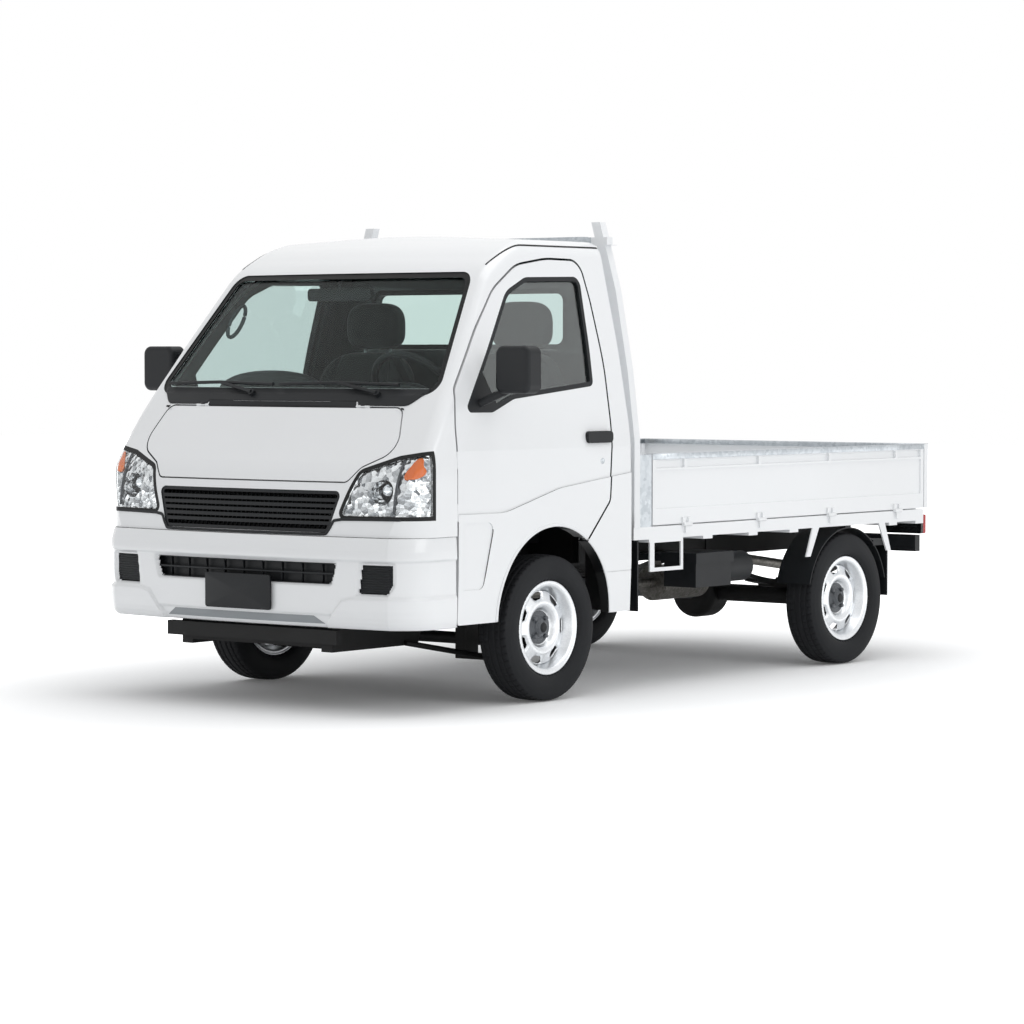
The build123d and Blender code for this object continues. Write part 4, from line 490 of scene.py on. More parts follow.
for wheel in wheelNames:
    low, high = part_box("rim_" + wheel)
    centre = (np.array(low) + np.array(high)) / 2
    side = 1 if centre[0] > 0 else -1
    body = "wheel_" + wheel
    tyre = addPiece("treadedTyre_" + wheel, *tyreShape(*centre), tyreRubber, body, "tyre_rubber")
    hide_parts("tyre_" + wheel)
    around = rimLook["around"]
    barrel = lathe(rimBarrel, centre, (side, 0, 0), around // 2)
    profile = denser(rimDish, 46)
    dishPoints, dishFaces = lathe(profile, centre, (side, 0, 0), around)
    # a vent is an opening of rounded corners that is narrower towards the axle, where the dish has no faces
    turn = (np.linspace(0, 1, around, endpoint=False)[:, None] * rimLook["vents"]) % 1 - 0.5
    away = np.abs(turn) * 2 * pi * profile[None, :, 1] / rimLook["vents"]
    fromMiddle = profile[None, :, 1] - rimLook["ventRadius"]
    gap = inside(4 * mm, away - rimLook["ventHalfWidth"] - rimLook["ventPinch"] * fromMiddle,
                 np.abs(fromMiddle) - rimLook["ventHalfDepth"] + 0 * away)
    dishPoints = dishPoints - (side * 5 * mm * ramp(-gap, -5 * mm, 1 * mm))[..., None] * (1, 0, 0)
    keep = (gap.reshape(-1)[dishFaces] > -0.5 * mm).any(1)
    rim = addPiece(
        "pressedRim_" + wheel, *joined([barrel, (dishPoints, dishFaces[keep])]), wheelSteel, body,
        "rim_paint",
                   outward=(side, 0, 0))
    wall = rim.modifiers.new("wall", "SOLIDIFY")
    wall.thickness, wall.offset = rimLook["wall"], -1.0
    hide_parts("rim_" + wheel)
    cup = lathe(denser(hubCup, 40), centre, (side, 0, 0), 72)
    nuts = []
    for number in range(rimLook["nuts"]):
        angle = 2 * pi * number / rimLook["nuts"] + pi / 4
        seat = centre + np.array([0, np.cos(angle), np.sin(angle)]) * rimLook["nutCircle"]
        nuts.append(
            lathe(np.array([(8, 0), (8, 9), (20, 9), (23, 6.5), (23, 0)]) * mm, seat, (side, 0, 0), 6))
    addPiece("hubCup_" + wheel, *cup, hubSteel, body, "engine_metal", outward=(side, 0, 0))
    addPiece("wheelNuts_" + wheel, *joined(nuts), hubSteel, body, "engine_metal", smooth=False)
    cap = lathe(
        np.array([(24, 0), (24, 19), (31, 18.5), (34, 15), (35, 9), (34, 0)]) * mm, centre, (side, 0, 0), 40)
    addPiece("hubCap_" + wheel, *cap, blackMoulding, body, "black_plastic")
print("tyres, nuts and hub caps made")

# seats
seatLook = {
    "x": 350 * mm, "halfWidth": 223 * mm, "cushionY": (-998 * mm, -575 * mm),
    "cushionZ": (712 * mm, 836 * mm),
    "backY": (-668 * mm, -560 * mm), "backZ": (745 * mm, 1238 * mm), "lean": 0.15,
    "restY": (-585 * mm, -497 * mm), "restZ": (1250 * mm, 1424 * mm), "restHalf": 127 * mm,
    "seam": 7 * mm, "seamWidth": 7 * mm, "seamX": 135 * mm,
}


def seamGroove(distance):
    # a sewn channel: a bell curve that falls away from the stitch line
    return seatLook["seam"] * np.exp(-(distance / seatLook["seamWidth"]) ** 2)


def cushionForm(points, half):
    # crowned on top, with two long channels and one across
    x, y, z = points[..., 0], points[..., 1], points[..., 2]
    crown = 10 * mm * (1 - (x / half[0]) ** 2) * (1 - (y / half[1]) ** 2)
    channels = np.maximum(
        seamGroove(np.abs(x) - seatLook["seamX"]),
        seamGroove(y - 0.1 * half[1]) * (np.abs(x) < seatLook["seamX"]))
    points[..., 2] = np.where(z > 0, z + crown - channels - 6 * mm, z)
    return points


def backForm(points, half):
    # shoulders drawn in towards the top, side bolsters forward of the middle, channels on the front
    x, y, z = points[..., 0].copy(), points[..., 1].copy(), points[..., 2]
    rise = z / half[2]
    points[..., 0] = x * (1 - 0.16 * np.clip(rise, 0, 1) ** 3)
    bolster = 12 * mm * (np.abs(x) / half[0]) ** 2
    channels = seamGroove(np.abs(x) - seatLook["seamX"]) + seamGroove(z - 0.35 * half[2]) * (
        np.abs(x) < seatLook["seamX"])
    points[..., 1] = np.where(y < 0, y - bolster + channels + 8 * mm, y) + seatLook["lean"] * z
    return points


def restForm(points, half):
    # rounder and narrower towards its top
    x, y, z = points[..., 0].copy(), points[..., 1], points[..., 2]
    points[..., 0] = x * (1 - 0.13 * np.clip(z / half[2], 0, 1) ** 2)
    return points


def middleAndHalf(low, high):
    return (low + high) / 2, (high - low) / 2


cushionY, cushionHalfY = middleAndHalf(*seatLook["cushionY"])
cushionZ, cushionHalfZ = middleAndHalf(*seatLook["cushionZ"])
backY, backHalfY = middleAndHalf(*seatLook["backY"])
backZ, backHalfZ = middleAndHalf(*seatLook["backZ"])
restY, restHalfY = middleAndHalf(*seatLook["restY"])
restZ, restHalfZ = middleAndHalf(*seatLook["restZ"])
cushions = bothSides(
    pillow((seatLook["x"], cushionY, cushionZ), (seatLook["halfWidth"], cushionHalfY, cushionHalfZ),
                            (0.45, 0.35), cushionForm, (64, 120)))
backs = bothSides(
    pillow((seatLook["x"], backY, backZ), (seatLook["halfWidth"] - 4 * mm, backHalfY, backHalfZ),
                         (0.5, 0.3), backForm, (72, 128)))
rests = bothSides(pillow((seatLook["x"], restY, restZ), (seatLook["restHalf"], restHalfY, restHalfZ),
                         (0.55, 0.5), restForm, (40, 64)))
seatCushions = addPiece("seatCushions", *cushions, seatCloth, "truck", "seat_cloth")
seatBacks = addPiece("seatBacks", *backs, seatCloth, "truck", "seat_cloth")
headrests = addPiece("headrests", *rests, seatCloth, "truck", "seat_cloth")
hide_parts("seats")
base = sweep(
    roundedBar(370 * mm, 62 * mm, 12 * mm),
    [(seatLook["x"], y, 681 * mm) for y in np.linspace(-0.955, -0.565, 6)])
addPiece("seatBases", *bothSides(base), blackMoulding, "truck", "black_plastic")
posts = [
    lathe([(0, 0), (0, 5.5 * mm), (90 * mm, 5.5 * mm), (90 * mm, 0)],
    (seatLook["x"] + side * 62 * mm, -0.535, 1.185), (0, 0.05, 1), 12)
         for side in (-1, 1)]
addPiece("headrestPosts", *bothSides(joined(posts)), zincSteel, "truck", "galvanised")
print("seats made")


def nodeCopy(names):
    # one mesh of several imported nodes, to lay pieces on
    shells = []
    for name in names:
        source = nodes[name].data
        flat = np.empty(len(source.vertices) * 3)
        source.vertices.foreach_get("co", flat)
        source.calc_loop_triangles()
        corners = np.empty(len(source.loop_triangles) * 3, int)
        source.loop_triangles.foreach_get("vertices", corners)
        shells.append((flat.reshape(-1, 3), corners.reshape(-1, 3)))
    points, faces = joined(shells)
    mesh = bpy.data.meshes.new("layingForm")
    mesh.from_pydata(points.tolist(), [], faces.tolist())
    form = bpy.data.objects.new("layingForm", mesh)
    bpy.context.scene.collection.objects.link(form)
    return form


def laidSheet(name, points, faces, nodeNames, along, lift, thick, finish, body, slot):
    # a sheet in front of the nodes is pressed onto them along an axis, then given its thickness outwards
    form = nodeCopy(nodeNames)
    axis, way = along
    outward = [0.0, 0.0, 0.0]
    outward["XYZ".index(axis)] = -way
    piece = addPiece(name, points, faces, finish, body, slot, outward=outward)
    before, place = np.empty(len(piece.data.vertices) * 3), np.empty(len(piece.data.vertices) * 3)
    piece.data.vertices.foreach_get("co", before)
    press = piece.modifiers.new("press", "SHRINKWRAP")
    press.target, press.wrap_method, press.offset = form, "PROJECT", lift
    press.wrap_mode = "ABOVE_SURFACE"
    press.use_positive_direction, press.use_negative_direction = way > 0, way < 0
    press.use_project_x, press.use_project_y, press.use_project_z = axis == "X", axis == "Y", axis == "Z"
    pressed = bpy.data.meshes.new_from_object(piece.evaluated_get(bpy.context.evaluated_depsgraph_get()))
    piece.modifiers.clear()
    piece.data = pressed
    bpy.data.meshes.remove(form.data)
    pressed.vertices.foreach_get("co", place)
    before, place = before.reshape(-1, 3), place.reshape(-1, 3)
    depth = "XYZ".index(axis)
    missed = np.abs(place[:, depth] - before[:, depth]) < 0.01 * mm
    if missed.any():
        # a point over a gap lies as deep as the nearest point that met the bodywork
        flat = np.delete(place, depth, axis=1)
        nearest = np.argmin(((flat[missed][:, None] - flat[~missed][None]) ** 2).sum(-1), axis=1)
        place[missed, depth] = place[~missed][nearest, depth]
        pressed.vertices.foreach_set("co", place.ravel())
        pressed.update()
        print(name, int(missed.sum()), "points closed over gaps")
    if thick:
        wall = piece.modifiers.new("wall", "SOLIDIFY")
        wall.thickness, wall.offset = thick, 1.0
    return piece


seamLook = {"x": 579 * mm, "width": 5 * mm, "startY": -1.035, "endY": -0.388, "thick": 1.2 * mm}
seamY = np.linspace(seamLook["startY"], seamLook["endY"], 60)
for side, word in ((1, "left"), (-1, "right")):
    strip = np.stack([
        np.stack([np.full(60, side * (seamLook["x"] + step * seamLook["width"])), seamY, np.full(60, 1.71)],
        -1)
        for step in (-0.5, 0, 0.5)])
    laidSheet(
        "roofSeam_" + word, strip, gridFaces(3, 60), ["roof_panel"], ("Z", -1), 0.2 * mm, seamLook["thick"],
              sealRubber, "truck", "seal_rubber")
print("roof seams laid")

# black cowl between the windscreen and the bonnet: a strip whose lower edge steps round the bonnet's hinges
cowlLook = {
    "halfWidth": 0.622, "lowZ": 1.0675, "hingeX": 0.354, "outerLowZ": 1.0535, "riseX": 0.545, "endZ": 1.094,
            "highZ": 1.112, "thick": 2.0 * mm, "columns": 260, "rows": 14}
cowlX = np.linspace(-cowlLook["halfWidth"], cowlLook["halfWidth"], cowlLook["columns"])
lowEdge = np.where(np.abs(cowlX) < cowlLook["hingeX"], cowlLook["lowZ"], cowlLook["outerLowZ"])
lowEdge = lowEdge + (cowlLook["endZ"] - cowlLook["outerLowZ"]) * ramp(
    np.abs(cowlX), cowlLook["riseX"], cowlLook["halfWidth"]) ** 1.5
rowShare = np.linspace(0, 1, cowlLook["rows"])[:, None]
cowlZ = lowEdge[None, :] * (1 - rowShare) + cowlLook["highZ"] * rowShare
cowl = np.stack([np.broadcast_to(cowlX, cowlZ.shape), np.full(cowlZ.shape, -1.60), cowlZ], -1)
laidSheet(
    "windscreenCowl", cowl, gridFaces(*cowlZ.shape),
    ["front_body", "cab_side_left", "cab_side_right", "glass_seals", "cab_glass"],
          ("Y", 1), 0.4 * mm, cowlLook["thick"], blackMoulding, "truck", "black_plastic")
# black lining at the back of the notch into which the lid's rear edge swings
notchLook = {"halfWidth": 0.349, "y": -1.4641, "z": (1.0465, 1.0685), "columns": 40, "rows": 4}
notchX = np.linspace(-notchLook["halfWidth"], notchLook["halfWidth"], notchLook["columns"])[:, None]
notchZ = np.linspace(*notchLook["z"], notchLook["rows"])[None, :]
notch = np.stack(np.broadcast_arrays(notchX, notchLook["y"], notchZ), -1)
addPiece(
    "cowlNotchLining", notch, gridFaces(notchLook["columns"], notchLook["rows"]), blackMoulding, "truck",
    "black_plastic", outward=(0, -1, 0))
print("cowl laid")


def rounded(points, radii, step):
    # a run of straight lines whose corners are arcs of the given radii, with points about a step apart
    points = np.asarray(points, float)
    run = [points[:1]]
    for before, corner, after, radius in zip(points[:-2], points[1:-1], points[2:], radii):
        back, on = before - corner, after - corner
        back, on = back / np.linalg.norm(back), on / np.linalg.norm(on)
        half = np.arccos(np.clip(back @ on, -1, 1)) / 2
        middle = corner + (back + on) / np.linalg.norm(back + on) * radius / np.sin(half)
        start, end = corner + back * radius / np.tan(half) - middle, corner + on * radius / np.tan(
            half) - middle
        share = np.linspace(0, 1, 14)[:, None]
        sweepAngle = pi - 2 * half
        run.append(
            middle + (np.sin((1 - share) * sweepAngle) * start + np.sin(share * sweepAngle) * end) / np.sin(
            sweepAngle))
    run.append(points[-1:])
    line = np.concatenate(run)
    length = np.linalg.norm(np.diff(line, axis=0), axis=1).sum()
    return denser(line, int(length / step))


def ribbon(line, width, startY):
    # a flat band along a line of (x, z), in front of the truck
    run = np.gradient(line, axis=0)
    run /= np.linalg.norm(run, axis=1, keepdims=True)
    across = np.stack([-run[:, 1], run[:, 0]], -1)
    rows = [line + across * width * share for share in (-0.5, -0.2, 0.2, 0.5)]
    return np.stack(
        [np.stack([row[:, 0], np.full(len(row), startY), row[:, 1]], -1) for row in rows]), gridFaces(4,
        len(line))


# black weather strip in the bonnet's shut line, set back from the paint
lidCorners = np.array(
    [(552, 1040), (602.4, 905.4), (484, 846), (441, 794.5), (-441, 794.5), (-484, 846), (-602.4, 905.4),
    (-552, 1040)]) * mm
lidLine = rounded(lidCorners, np.array([62, 38, 27, 27, 38, 62]) * mm, 6 * mm)
laidSheet(
    "bonnetSeal", *ribbon(lidLine, 3.6 * mm, -1.75), ["front_body"], ("Y", 1), 14 * mm, 0.0, sealRubber,
    "truck", "seal_rubber")

# black moulding under the lamps and round the foot of the grille
trimHalf = [(672, 672), (560, 671), (440, 669), (405, 664), (392, 640), (376, 617.5), (340, 616.5), (0, 616)]
trimCorners = np.array(trimHalf + [(-x, z) for x, z in reversed(trimHalf[:-1])]) * mm
trimRadii = np.array([500, 200, 20, 30, 20, 200, 900, 200, 20, 30, 20, 200, 500]) * mm
trimLine = rounded(trimCorners, np.minimum(trimRadii, 12 * mm), 6 * mm)
laidSheet(
    "lampTrim", *ribbon(trimLine, 10 * mm, -1.75), ["front_body", "grille", "glass_seals", "headlamp_lenses"],
    ("Y", 1),
          0.5 * mm, 2.0 * mm, blackMoulding, "truck", "black_plastic")
print("bonnet seal and lamp trim laid")

# lamps
lampLook = {
    "amberX": 694 * mm, "amberZ": 838 * mm, "amberHalf": (26 * mm, 36 * mm), "bulbX": 585 * mm,
    "bulbZ": 768 * mm,
    "front": -1.76, "dividerX": 646 * mm, "dividerZ": (690 * mm, 872 * mm),
}
turnSteps, ringSteps = 40, 10
spin, reach = np.meshgrid(
    np.linspace(0, 2 * pi, turnSteps, endpoint=False), np.linspace(0, 1, ringSteps), indexing="ij")
wobble = reach * (
    1 + 0.16 * np.cos(3 * spin + 1.2))  # an uneven round patch, as a coloured bulb shows through facets
for side, word in ((1, "left"), (-1, "right")):
    patch = np.stack([
        side * (lampLook["amberX"] + lampLook["amberHalf"][0] * wobble * (np.cos(spin) + 0.3 * np.sin(spin))),
        np.full_like(spin, lampLook["front"]),
        lampLook["amberZ"] + lampLook["amberHalf"][1] * wobble * np.sin(spin)], -1)
    laidSheet(
        "amberReflector_" + word, patch, gridFaces(turnSteps, ringSteps, closeRows=True), ["headlamp_bowls"],
        ("Y", 1),
              1.2 * mm, 0.8 * mm, amberLens, "truck", "tail_lens")
    # a dark bar stands between the main lamp and the turn signal
    z = np.linspace(*lampLook["dividerZ"], 20)
    bar = ribbon(np.stack([np.full(20, side * lampLook["dividerX"]), z], -1), 7 * mm, lampLook["front"])
    laidSheet(
        "lampDivider_" + word, *bar, ["headlamp_bowls"], ("Y", 1), 1.0 * mm, 6.0 * mm, hubSteel, "truck",
        "lamp_reflector")
bulb = lathe([(0, 0), (0, 20 * mm), (3 * mm, 22 * mm), (10 * mm, 20 * mm), (19 * mm, 12 * mm), (23 * mm, 0)],
             (lampLook["bulbX"], -1.567, lampLook["bulbZ"]), (0, -1, 0), 32)
addPiece("bulbCaps", *bothSides(bulb), polishedGlass, "truck", "lamp_reflector")

# bumper skin: the plan line of the nose and its corners, swept up with a depth pressed in at every point
bumperLook = {
    "frontY": -1692.6 * mm, "planRadius": 4.8, "meetX": 0.640, "cornerX": 588 * mm, "cornerY": -1511.5 * mm,
    "cornerRadius": 149.5 * mm, "endY": -1387.2 * mm, "z": (0.2955, 0.6085), "columns": 436, "rows": 96,
    "browZ": 0.531, "browDepth": 9 * mm, "wall": 3.0 * mm,
    "slotZ": (0.441, 0.523), "slotHalf": (0.410, 0.433),
    "fogZ": (0.411, 0.525), "fogQ": (0.512, 0.674), "fogDepth": 16 * mm, "fogRib": 8.5 * mm,
}


def bumperPlan(count):
    # half of the plan line from the middle to the door: a wide arc, a corner arc and the straight side
    look = bumperLook
    x = np.linspace(0, look["meetX"], 200)
    wide = np.stack([x, look["frontY"] + x * x / (2 * look["planRadius"])], -1)
    turn = np.linspace(np.arccos((look["meetX"] - look["cornerX"]) / look["cornerRadius"]), 0, 60)[1:]
    corner = np.stack([look["cornerX"] + look["cornerRadius"] * np.cos(turn),
                       look["cornerY"] - look["cornerRadius"] * np.sin(turn)], -1)
    end = np.array([[look["cornerX"] + look["cornerRadius"], look["endY"]]])
    half = np.concatenate([wide, corner, end])
    whole = denser(np.concatenate([half[:0:-1] * (-1, 1), half]), count)
    run = np.gradient(whole, axis=0)
    run /= np.linalg.norm(run, axis=1, keepdims=True)
    along = np.concatenate([[0], np.cumsum(np.linalg.norm(np.diff(whole, axis=0), axis=1))])
    return whole, np.stack([run[:, 1], -run[:, 0]], -1), along - along[-1] / 2


def slotGap(q, z):
    look = bumperLook
    half = np.interp(z, look["slotZ"], look["slotHalf"])
    return inside(4 * mm, np.abs(q) - half, z - look["slotZ"][1], look["slotZ"][0] - z)


def fogGap(q, z):
    look = bumperLook
    inner = look["fogQ"][0] + 0.13 * (z - look["fogZ"][0])
    corner = 0.75 * (np.abs(q) - look["fogQ"][1] + 0.03) - 0.66 * (z - look["fogZ"][0])
    return inside(
        3.5 * mm, inner - np.abs(q), np.abs(q) - look["fogQ"][1], z - look["fogZ"][1], look["fogZ"][0] - z,
        corner)


def bumperInset(q, z):
    # how far the skin lies behind the plan line: rounded shoulder and foot, the band under the brow, the
    # outer lips and the lips of the openings
    reach = np.abs(q)
    profile = np.interp(z, np.array([290, 298, 306, 318, 335, 360, 545, 562, 585, 600, 612]) * mm,
                        np.array([30, 20, 12, 6, 2.5, 0, 0, 1.5, 7, 11.5, 16]) * mm)
    profile = profile * (1 - 0.75 * ramp(reach, 0.68, 0.86))
    band = bumperLook["browDepth"] * ramp(bumperLook["browZ"] - z, -3 * mm, 6 * mm)
    lipTop = np.interp(reach, [0.372, 0.387, 0.455, 0.50, 1.0], [0.270, 0.312, 0.392, 0.402, 0.406])
    band = band * (1 - ramp(lipTop - z, -5 * mm, 5 * mm)) * (1 - 0.6 * ramp(reach, 0.86, 0.96))
    chin = 7 * mm * ramp(0.345 - z, 0, 8 * mm) * (1 - ramp(lipTop - z, -5 * mm, 5 * mm))
    opening = 12 * mm * ramp(-slotGap(q, z), -2 * mm, 5 * mm) + 12 * mm * ramp(-fogGap(q, z), -2 * mm, 5 * mm)
    return profile + band + chin + opening


def onBumper(q, z, depth):
    # points of the bumper at a distance along its plan line, a height and a depth behind that line
    plan, normal, along = bumperPlan(1200)
    x = np.interp(q, along, plan[:, 0]) - depth * np.interp(q, along, normal[:, 0])
    y = np.interp(q, along, plan[:, 1]) - depth * np.interp(q, along, normal[:, 1])
    return np.stack(np.broadcast_arrays(x, y, z), -1)


planLine, planNormal, planAlong = bumperPlan(bumperLook["columns"])
q, z = np.meshgrid(planAlong, np.linspace(*bumperLook["z"], bumperLook["rows"]), indexing="ij")
depth = bumperInset(q, z)
skin = np.stack(
    [planLine[:, None, 0] - planNormal[:, None, 0] * depth,
    planLine[:, None, 1] - planNormal[:, None, 1] * depth, z], -1)
faces = gridFaces(*z.shape)
gap = np.minimum(slotGap(q, z), fogGap(q, z)).reshape(-1)
faces = faces[(gap[faces] > -5.5 * mm).any(1)]
bumperSkin = addPiece("bumperSkin", skin, faces, bodyEnamel, "truck", "white_paint", outward=(0, -1, 0))
wall = bumperSkin.modifiers.new("wall", "SOLIDIFY")
wall.thickness, wall.offset = bumperLook["wall"], -1.0
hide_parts("front_bumper")


def bumperPatch(qRange, zRange, steps, depthOf):
    # a grid over part of the bumper, with its depth behind the plan line given as a function
    q, z = np.meshgrid(np.linspace(*qRange, steps[0]), np.linspace(*zRange, steps[1]), indexing="ij")
    return onBumper(q, z, depthOf(q, z)), gridFaces(*q.shape)


def fogDepth(q, z):
    # fine level ribs: a sine of the height
    return bumperLook["fogDepth"] + 9 * mm + 1.6 * mm * np.sin(2 * pi * z / bumperLook["fogRib"])


blanks = [
    bumperPatch(np.array([0.505, 0.682]) * side, (0.404, 0.532), (30, 110), fogDepth) for side in (-1, 1)]
blanks.append(bumperPatch((-0.44, 0.44), (0.434, 0.530), (120, 8), lambda q, z: 46 * mm + 0 * q))
insertSheet = addPiece(
    "bumperInserts", *joined(blanks), blackMoulding, "truck", "black_plastic", outward=(0, -1, 0))
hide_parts("bumper_inserts")
bars = []
for height in (0.4455, 0.482, 0.5185):
    q = np.linspace(-0.43, 0.43, 60)
    bars.append(
        sweep(roundedBar(16 * mm, 7 * mm, 2 * mm, 3), onBumper(q, np.full(60, height), np.full(60, 28 * mm))))
for x in (-0.36, -0.27, -0.18, -0.09, 0.0, 0.09, 0.18, 0.27, 0.36):
    bars.append(
        sweep(roundedBar(12 * mm, 3 * mm, 1 * mm, 3)[:, ::-1],
        [onBumper(x, z, 32 * mm) for z in (0.440, 0.48, 0.524)]))
addPiece("bumperSlotBars", *joined(bars), blackMoulding, "truck", "black_plastic")
plateOutline = roundedBar(0.306, 0.122, 9 * mm, 6) + (0, 0.409)
addPiece(
    "blankPlate", *slab(plateOutline, -1.6972, -1.6885, 1.5 * mm), blackMoulding, "truck", "black_plastic")
# the grey sheet on the recessed chin at the foot of the bumper's middle is painted shade, laid 0.8 mm in
# front of the white skin
chinQ, chinShare = np.meshgrid(np.linspace(-1, 1, 90), np.linspace(0, 1, 12), indexing="ij")
chinZ = 0.309 + 0.027 * chinShare
chinReach = chinQ * (0.374 - 0.045 * chinShare)
chin = onBumper(chinReach, chinZ, bumperInset(chinReach, chinZ) - 0.8 * mm)
addPiece("chinShadeSheet", chin, gridFaces(*chinZ.shape), chinShadeGrey, "truck", "white_paint", outward=(0, -1, 0))
print("bumper made")

# upright ribs behind the grille bars
grilleLook = {
    "halfWidth": 0.398, "ribs": 39, "z": (0.634, 0.752), "ribWidth": 2.6 * mm, "depth": 9 * mm,
    "inset": 17 * mm, "radius": 4.8}
ribX = np.linspace(-grilleLook["halfWidth"], grilleLook["halfWidth"], grilleLook["ribs"])
ribs = []
for x in ribX:
    lowEnd = grilleLook["z"][0] + 0.03 * (abs(x) > 0.385)
    z = np.linspace(lowEnd, grilleLook["z"][1], 4)
    y = -1.6725 + (z - 0.6) * 0.11 + x * x / (2 * grilleLook["radius"]) + grilleLook["inset"]
    ribs.append(
        sweep(roundedBar(grilleLook["ribWidth"], grilleLook["depth"], 0.8 * mm, 3),
        np.stack([np.full(4, x), y, z], -1)))
addPiece("grilleRibs", *joined(ribs), blackMoulding, "truck", "black_plastic")
print("lamps and grille dressed")

# rolled lips round the front wheel arches, on the door and on the cab side, where each is cut by the arch
archLook = {"y": -0.835, "z": 0.300, "radius": 0.322, "proud": 2.2 * mm, "width": 13 * mm}
for side, word in ((1, "left"), (-1, "right")):
    for node, body in (("door_" + word, word + "_door"), ("cab_side_" + word, "truck")):
        source = nodes[node].data
        flat = np.empty(len(source.vertices) * 3)
        source.vertices.foreach_get("co", flat)
        spots = flat.reshape(-1, 3)
        spots = spots[np.abs(spots[:, 0]) > 0.722]
        away = np.hypot(spots[:, 1] - archLook["y"], spots[:, 2] - archLook["z"])
        edge = spots[np.abs(away - archLook["radius"]) < 0.6 * mm]
        turn = np.arctan2(edge[:, 2] - archLook["z"], edge[:, 1] - archLook["y"])
        angle = np.linspace(turn.min() + 0.004, turn.max() - 0.004, 70)
        x = np.full(70, 0.7335) - 6 * mm * (
            1 - ramp(archLook["z"] + archLook["radius"] * np.sin(angle), 0.30, 0.48))
        radius = archLook["radius"] + archLook["width"] / 2
        path = np.stack(
            [side * x, archLook["y"] + radius * np.cos(angle), archLook["z"] + radius * np.sin(angle)], -1)
        lip = sweep(
            roundedBar(10 * mm + 2 * archLook["proud"], archLook["width"], 4 * mm, 5), path, side=(1, 0, 0))
        addPiece("archLip_" + word + "_" + node[:3], *lip, bodyEnamel, body, "white_paint")
print("arch lips made")

# door fittings
keyLook = {"y": -0.555, "z": 0.848, "radius": 11 * mm}
for side, word in ((1, "left"), (-1, "right")):
    surface = side * 733.3 * mm
    barrel = lathe(
        [(0, 0), (0, keyLook["radius"]), (1.6 * mm, keyLook["radius"] - 0.6 * mm),
        (2.4 * mm, keyLook["radius"] - 3 * mm),
                    (1.4 * mm, keyLook["radius"] - 4 * mm), (1.2 * mm, 0)],
                    (surface, keyLook["y"], keyLook["z"]), (side, 0, 0), 32)
    addPiece("keyBarrel_" + word, *barrel, zincSteel, word + "_door", "galvanised")
mirrorLook = {"x": 842 * mm, "y": -1151.6 * mm, "z": 1179 * mm, "half": (66 * mm, 73 * mm), "crown": 3 * mm}
for side, word in ((1, "left"), (-1, "right")):
    discShape = reach ** 0.9
    squareX = np.sign(np.cos(spin)) * np.abs(np.cos(spin)) ** 0.35
    squareZ = np.sign(np.sin(spin)) * np.abs(np.sin(spin)) ** 0.35
    glass = np.stack([
        side * mirrorLook["x"] + mirrorLook["half"][0] * discShape * squareX,
        mirrorLook["y"] + mirrorLook["crown"] * (1 - discShape ** 2) - 2.4 * mm,
        mirrorLook["z"] + mirrorLook["half"][1] * discShape * squareZ], -1)
    addPiece(
        "mirrorGlass_" + word, glass, gridFaces(turnSteps, ringSteps, closeRows=True), polishedGlass,
        word + "_door", "lamp_reflector")
print("door fittings made")

# galvanised caps along the tops of the gates
capLook = {"width": 31 * mm, "height": 22 * mm, "radius": 3 * mm, "z": 854.5 * mm}
capOutline = roundedBar(capLook["width"], capLook["height"], capLook["radius"])
for side, word in ((1, "left"), (-1, "right")):
    path = [(side * 708 * mm, y, capLook["z"]) for y in np.linspace(-0.2315, 1.6495, 8)]
    addPiece("gateCap_" + word, *sweep(capOutline, path), zincSteel, word + "_gate", "galvanised")
path = [(x, 1.670, capLook["z"]) for x in np.linspace(-0.7215, 0.7215, 8)]
addPiece("gateCap_rear", *sweep(capOutline, path), zincSteel, "rear_gate", "galvanised")
print("gate caps made")

# cab inside
dashLook = {"binnacle": (0.350, -1.262, 1.082), "binnacleHalf": (0.15, 0.07, 0.052),
            "hump": (-0.22, -1.27, 1.085), "humpHalf": (0.245, 0.10, 0.088)}
hoods = joined([
    pillow(dashLook["binnacle"], dashLook["binnacleHalf"], (0.7, 0.8), steps=(24, 48)),
    pillow(dashLook["hump"], dashLook["humpHalf"], (0.9, 0.9), steps=(24, 48))])
addPiece("dashHoods", *hoods, blackMoulding, "truck", "black_plastic")
gripTurn = np.linspace(0, 2 * pi, 48, endpoint=False)
gripLook = {"centre": (-0.585, -1.062, 1.352), "half": (0.034, 0.058), "thick": 9 * mm}
gripPath = np.stack([
    gripLook["centre"][0] - 0.1 * gripLook["half"][1] * np.sin(gripTurn),
    gripLook["centre"][1] + gripLook["half"][0] * np.cos(gripTurn) + 0.7 * gripLook["half"][1] * np.sin(
    gripTurn),
    gripLook["centre"][2] + gripLook["half"][1] * np.sin(gripTurn)], -1)
addPiece(
    "pillarGrip", *sweep(roundedBar(gripLook["thick"] * 1.6, gripLook["thick"] * 1.6,
    gripLook["thick"] * 0.75), gripPath, closed=True),
         lightMoulding, "truck", "black_plastic")
print("cab inside dressed")

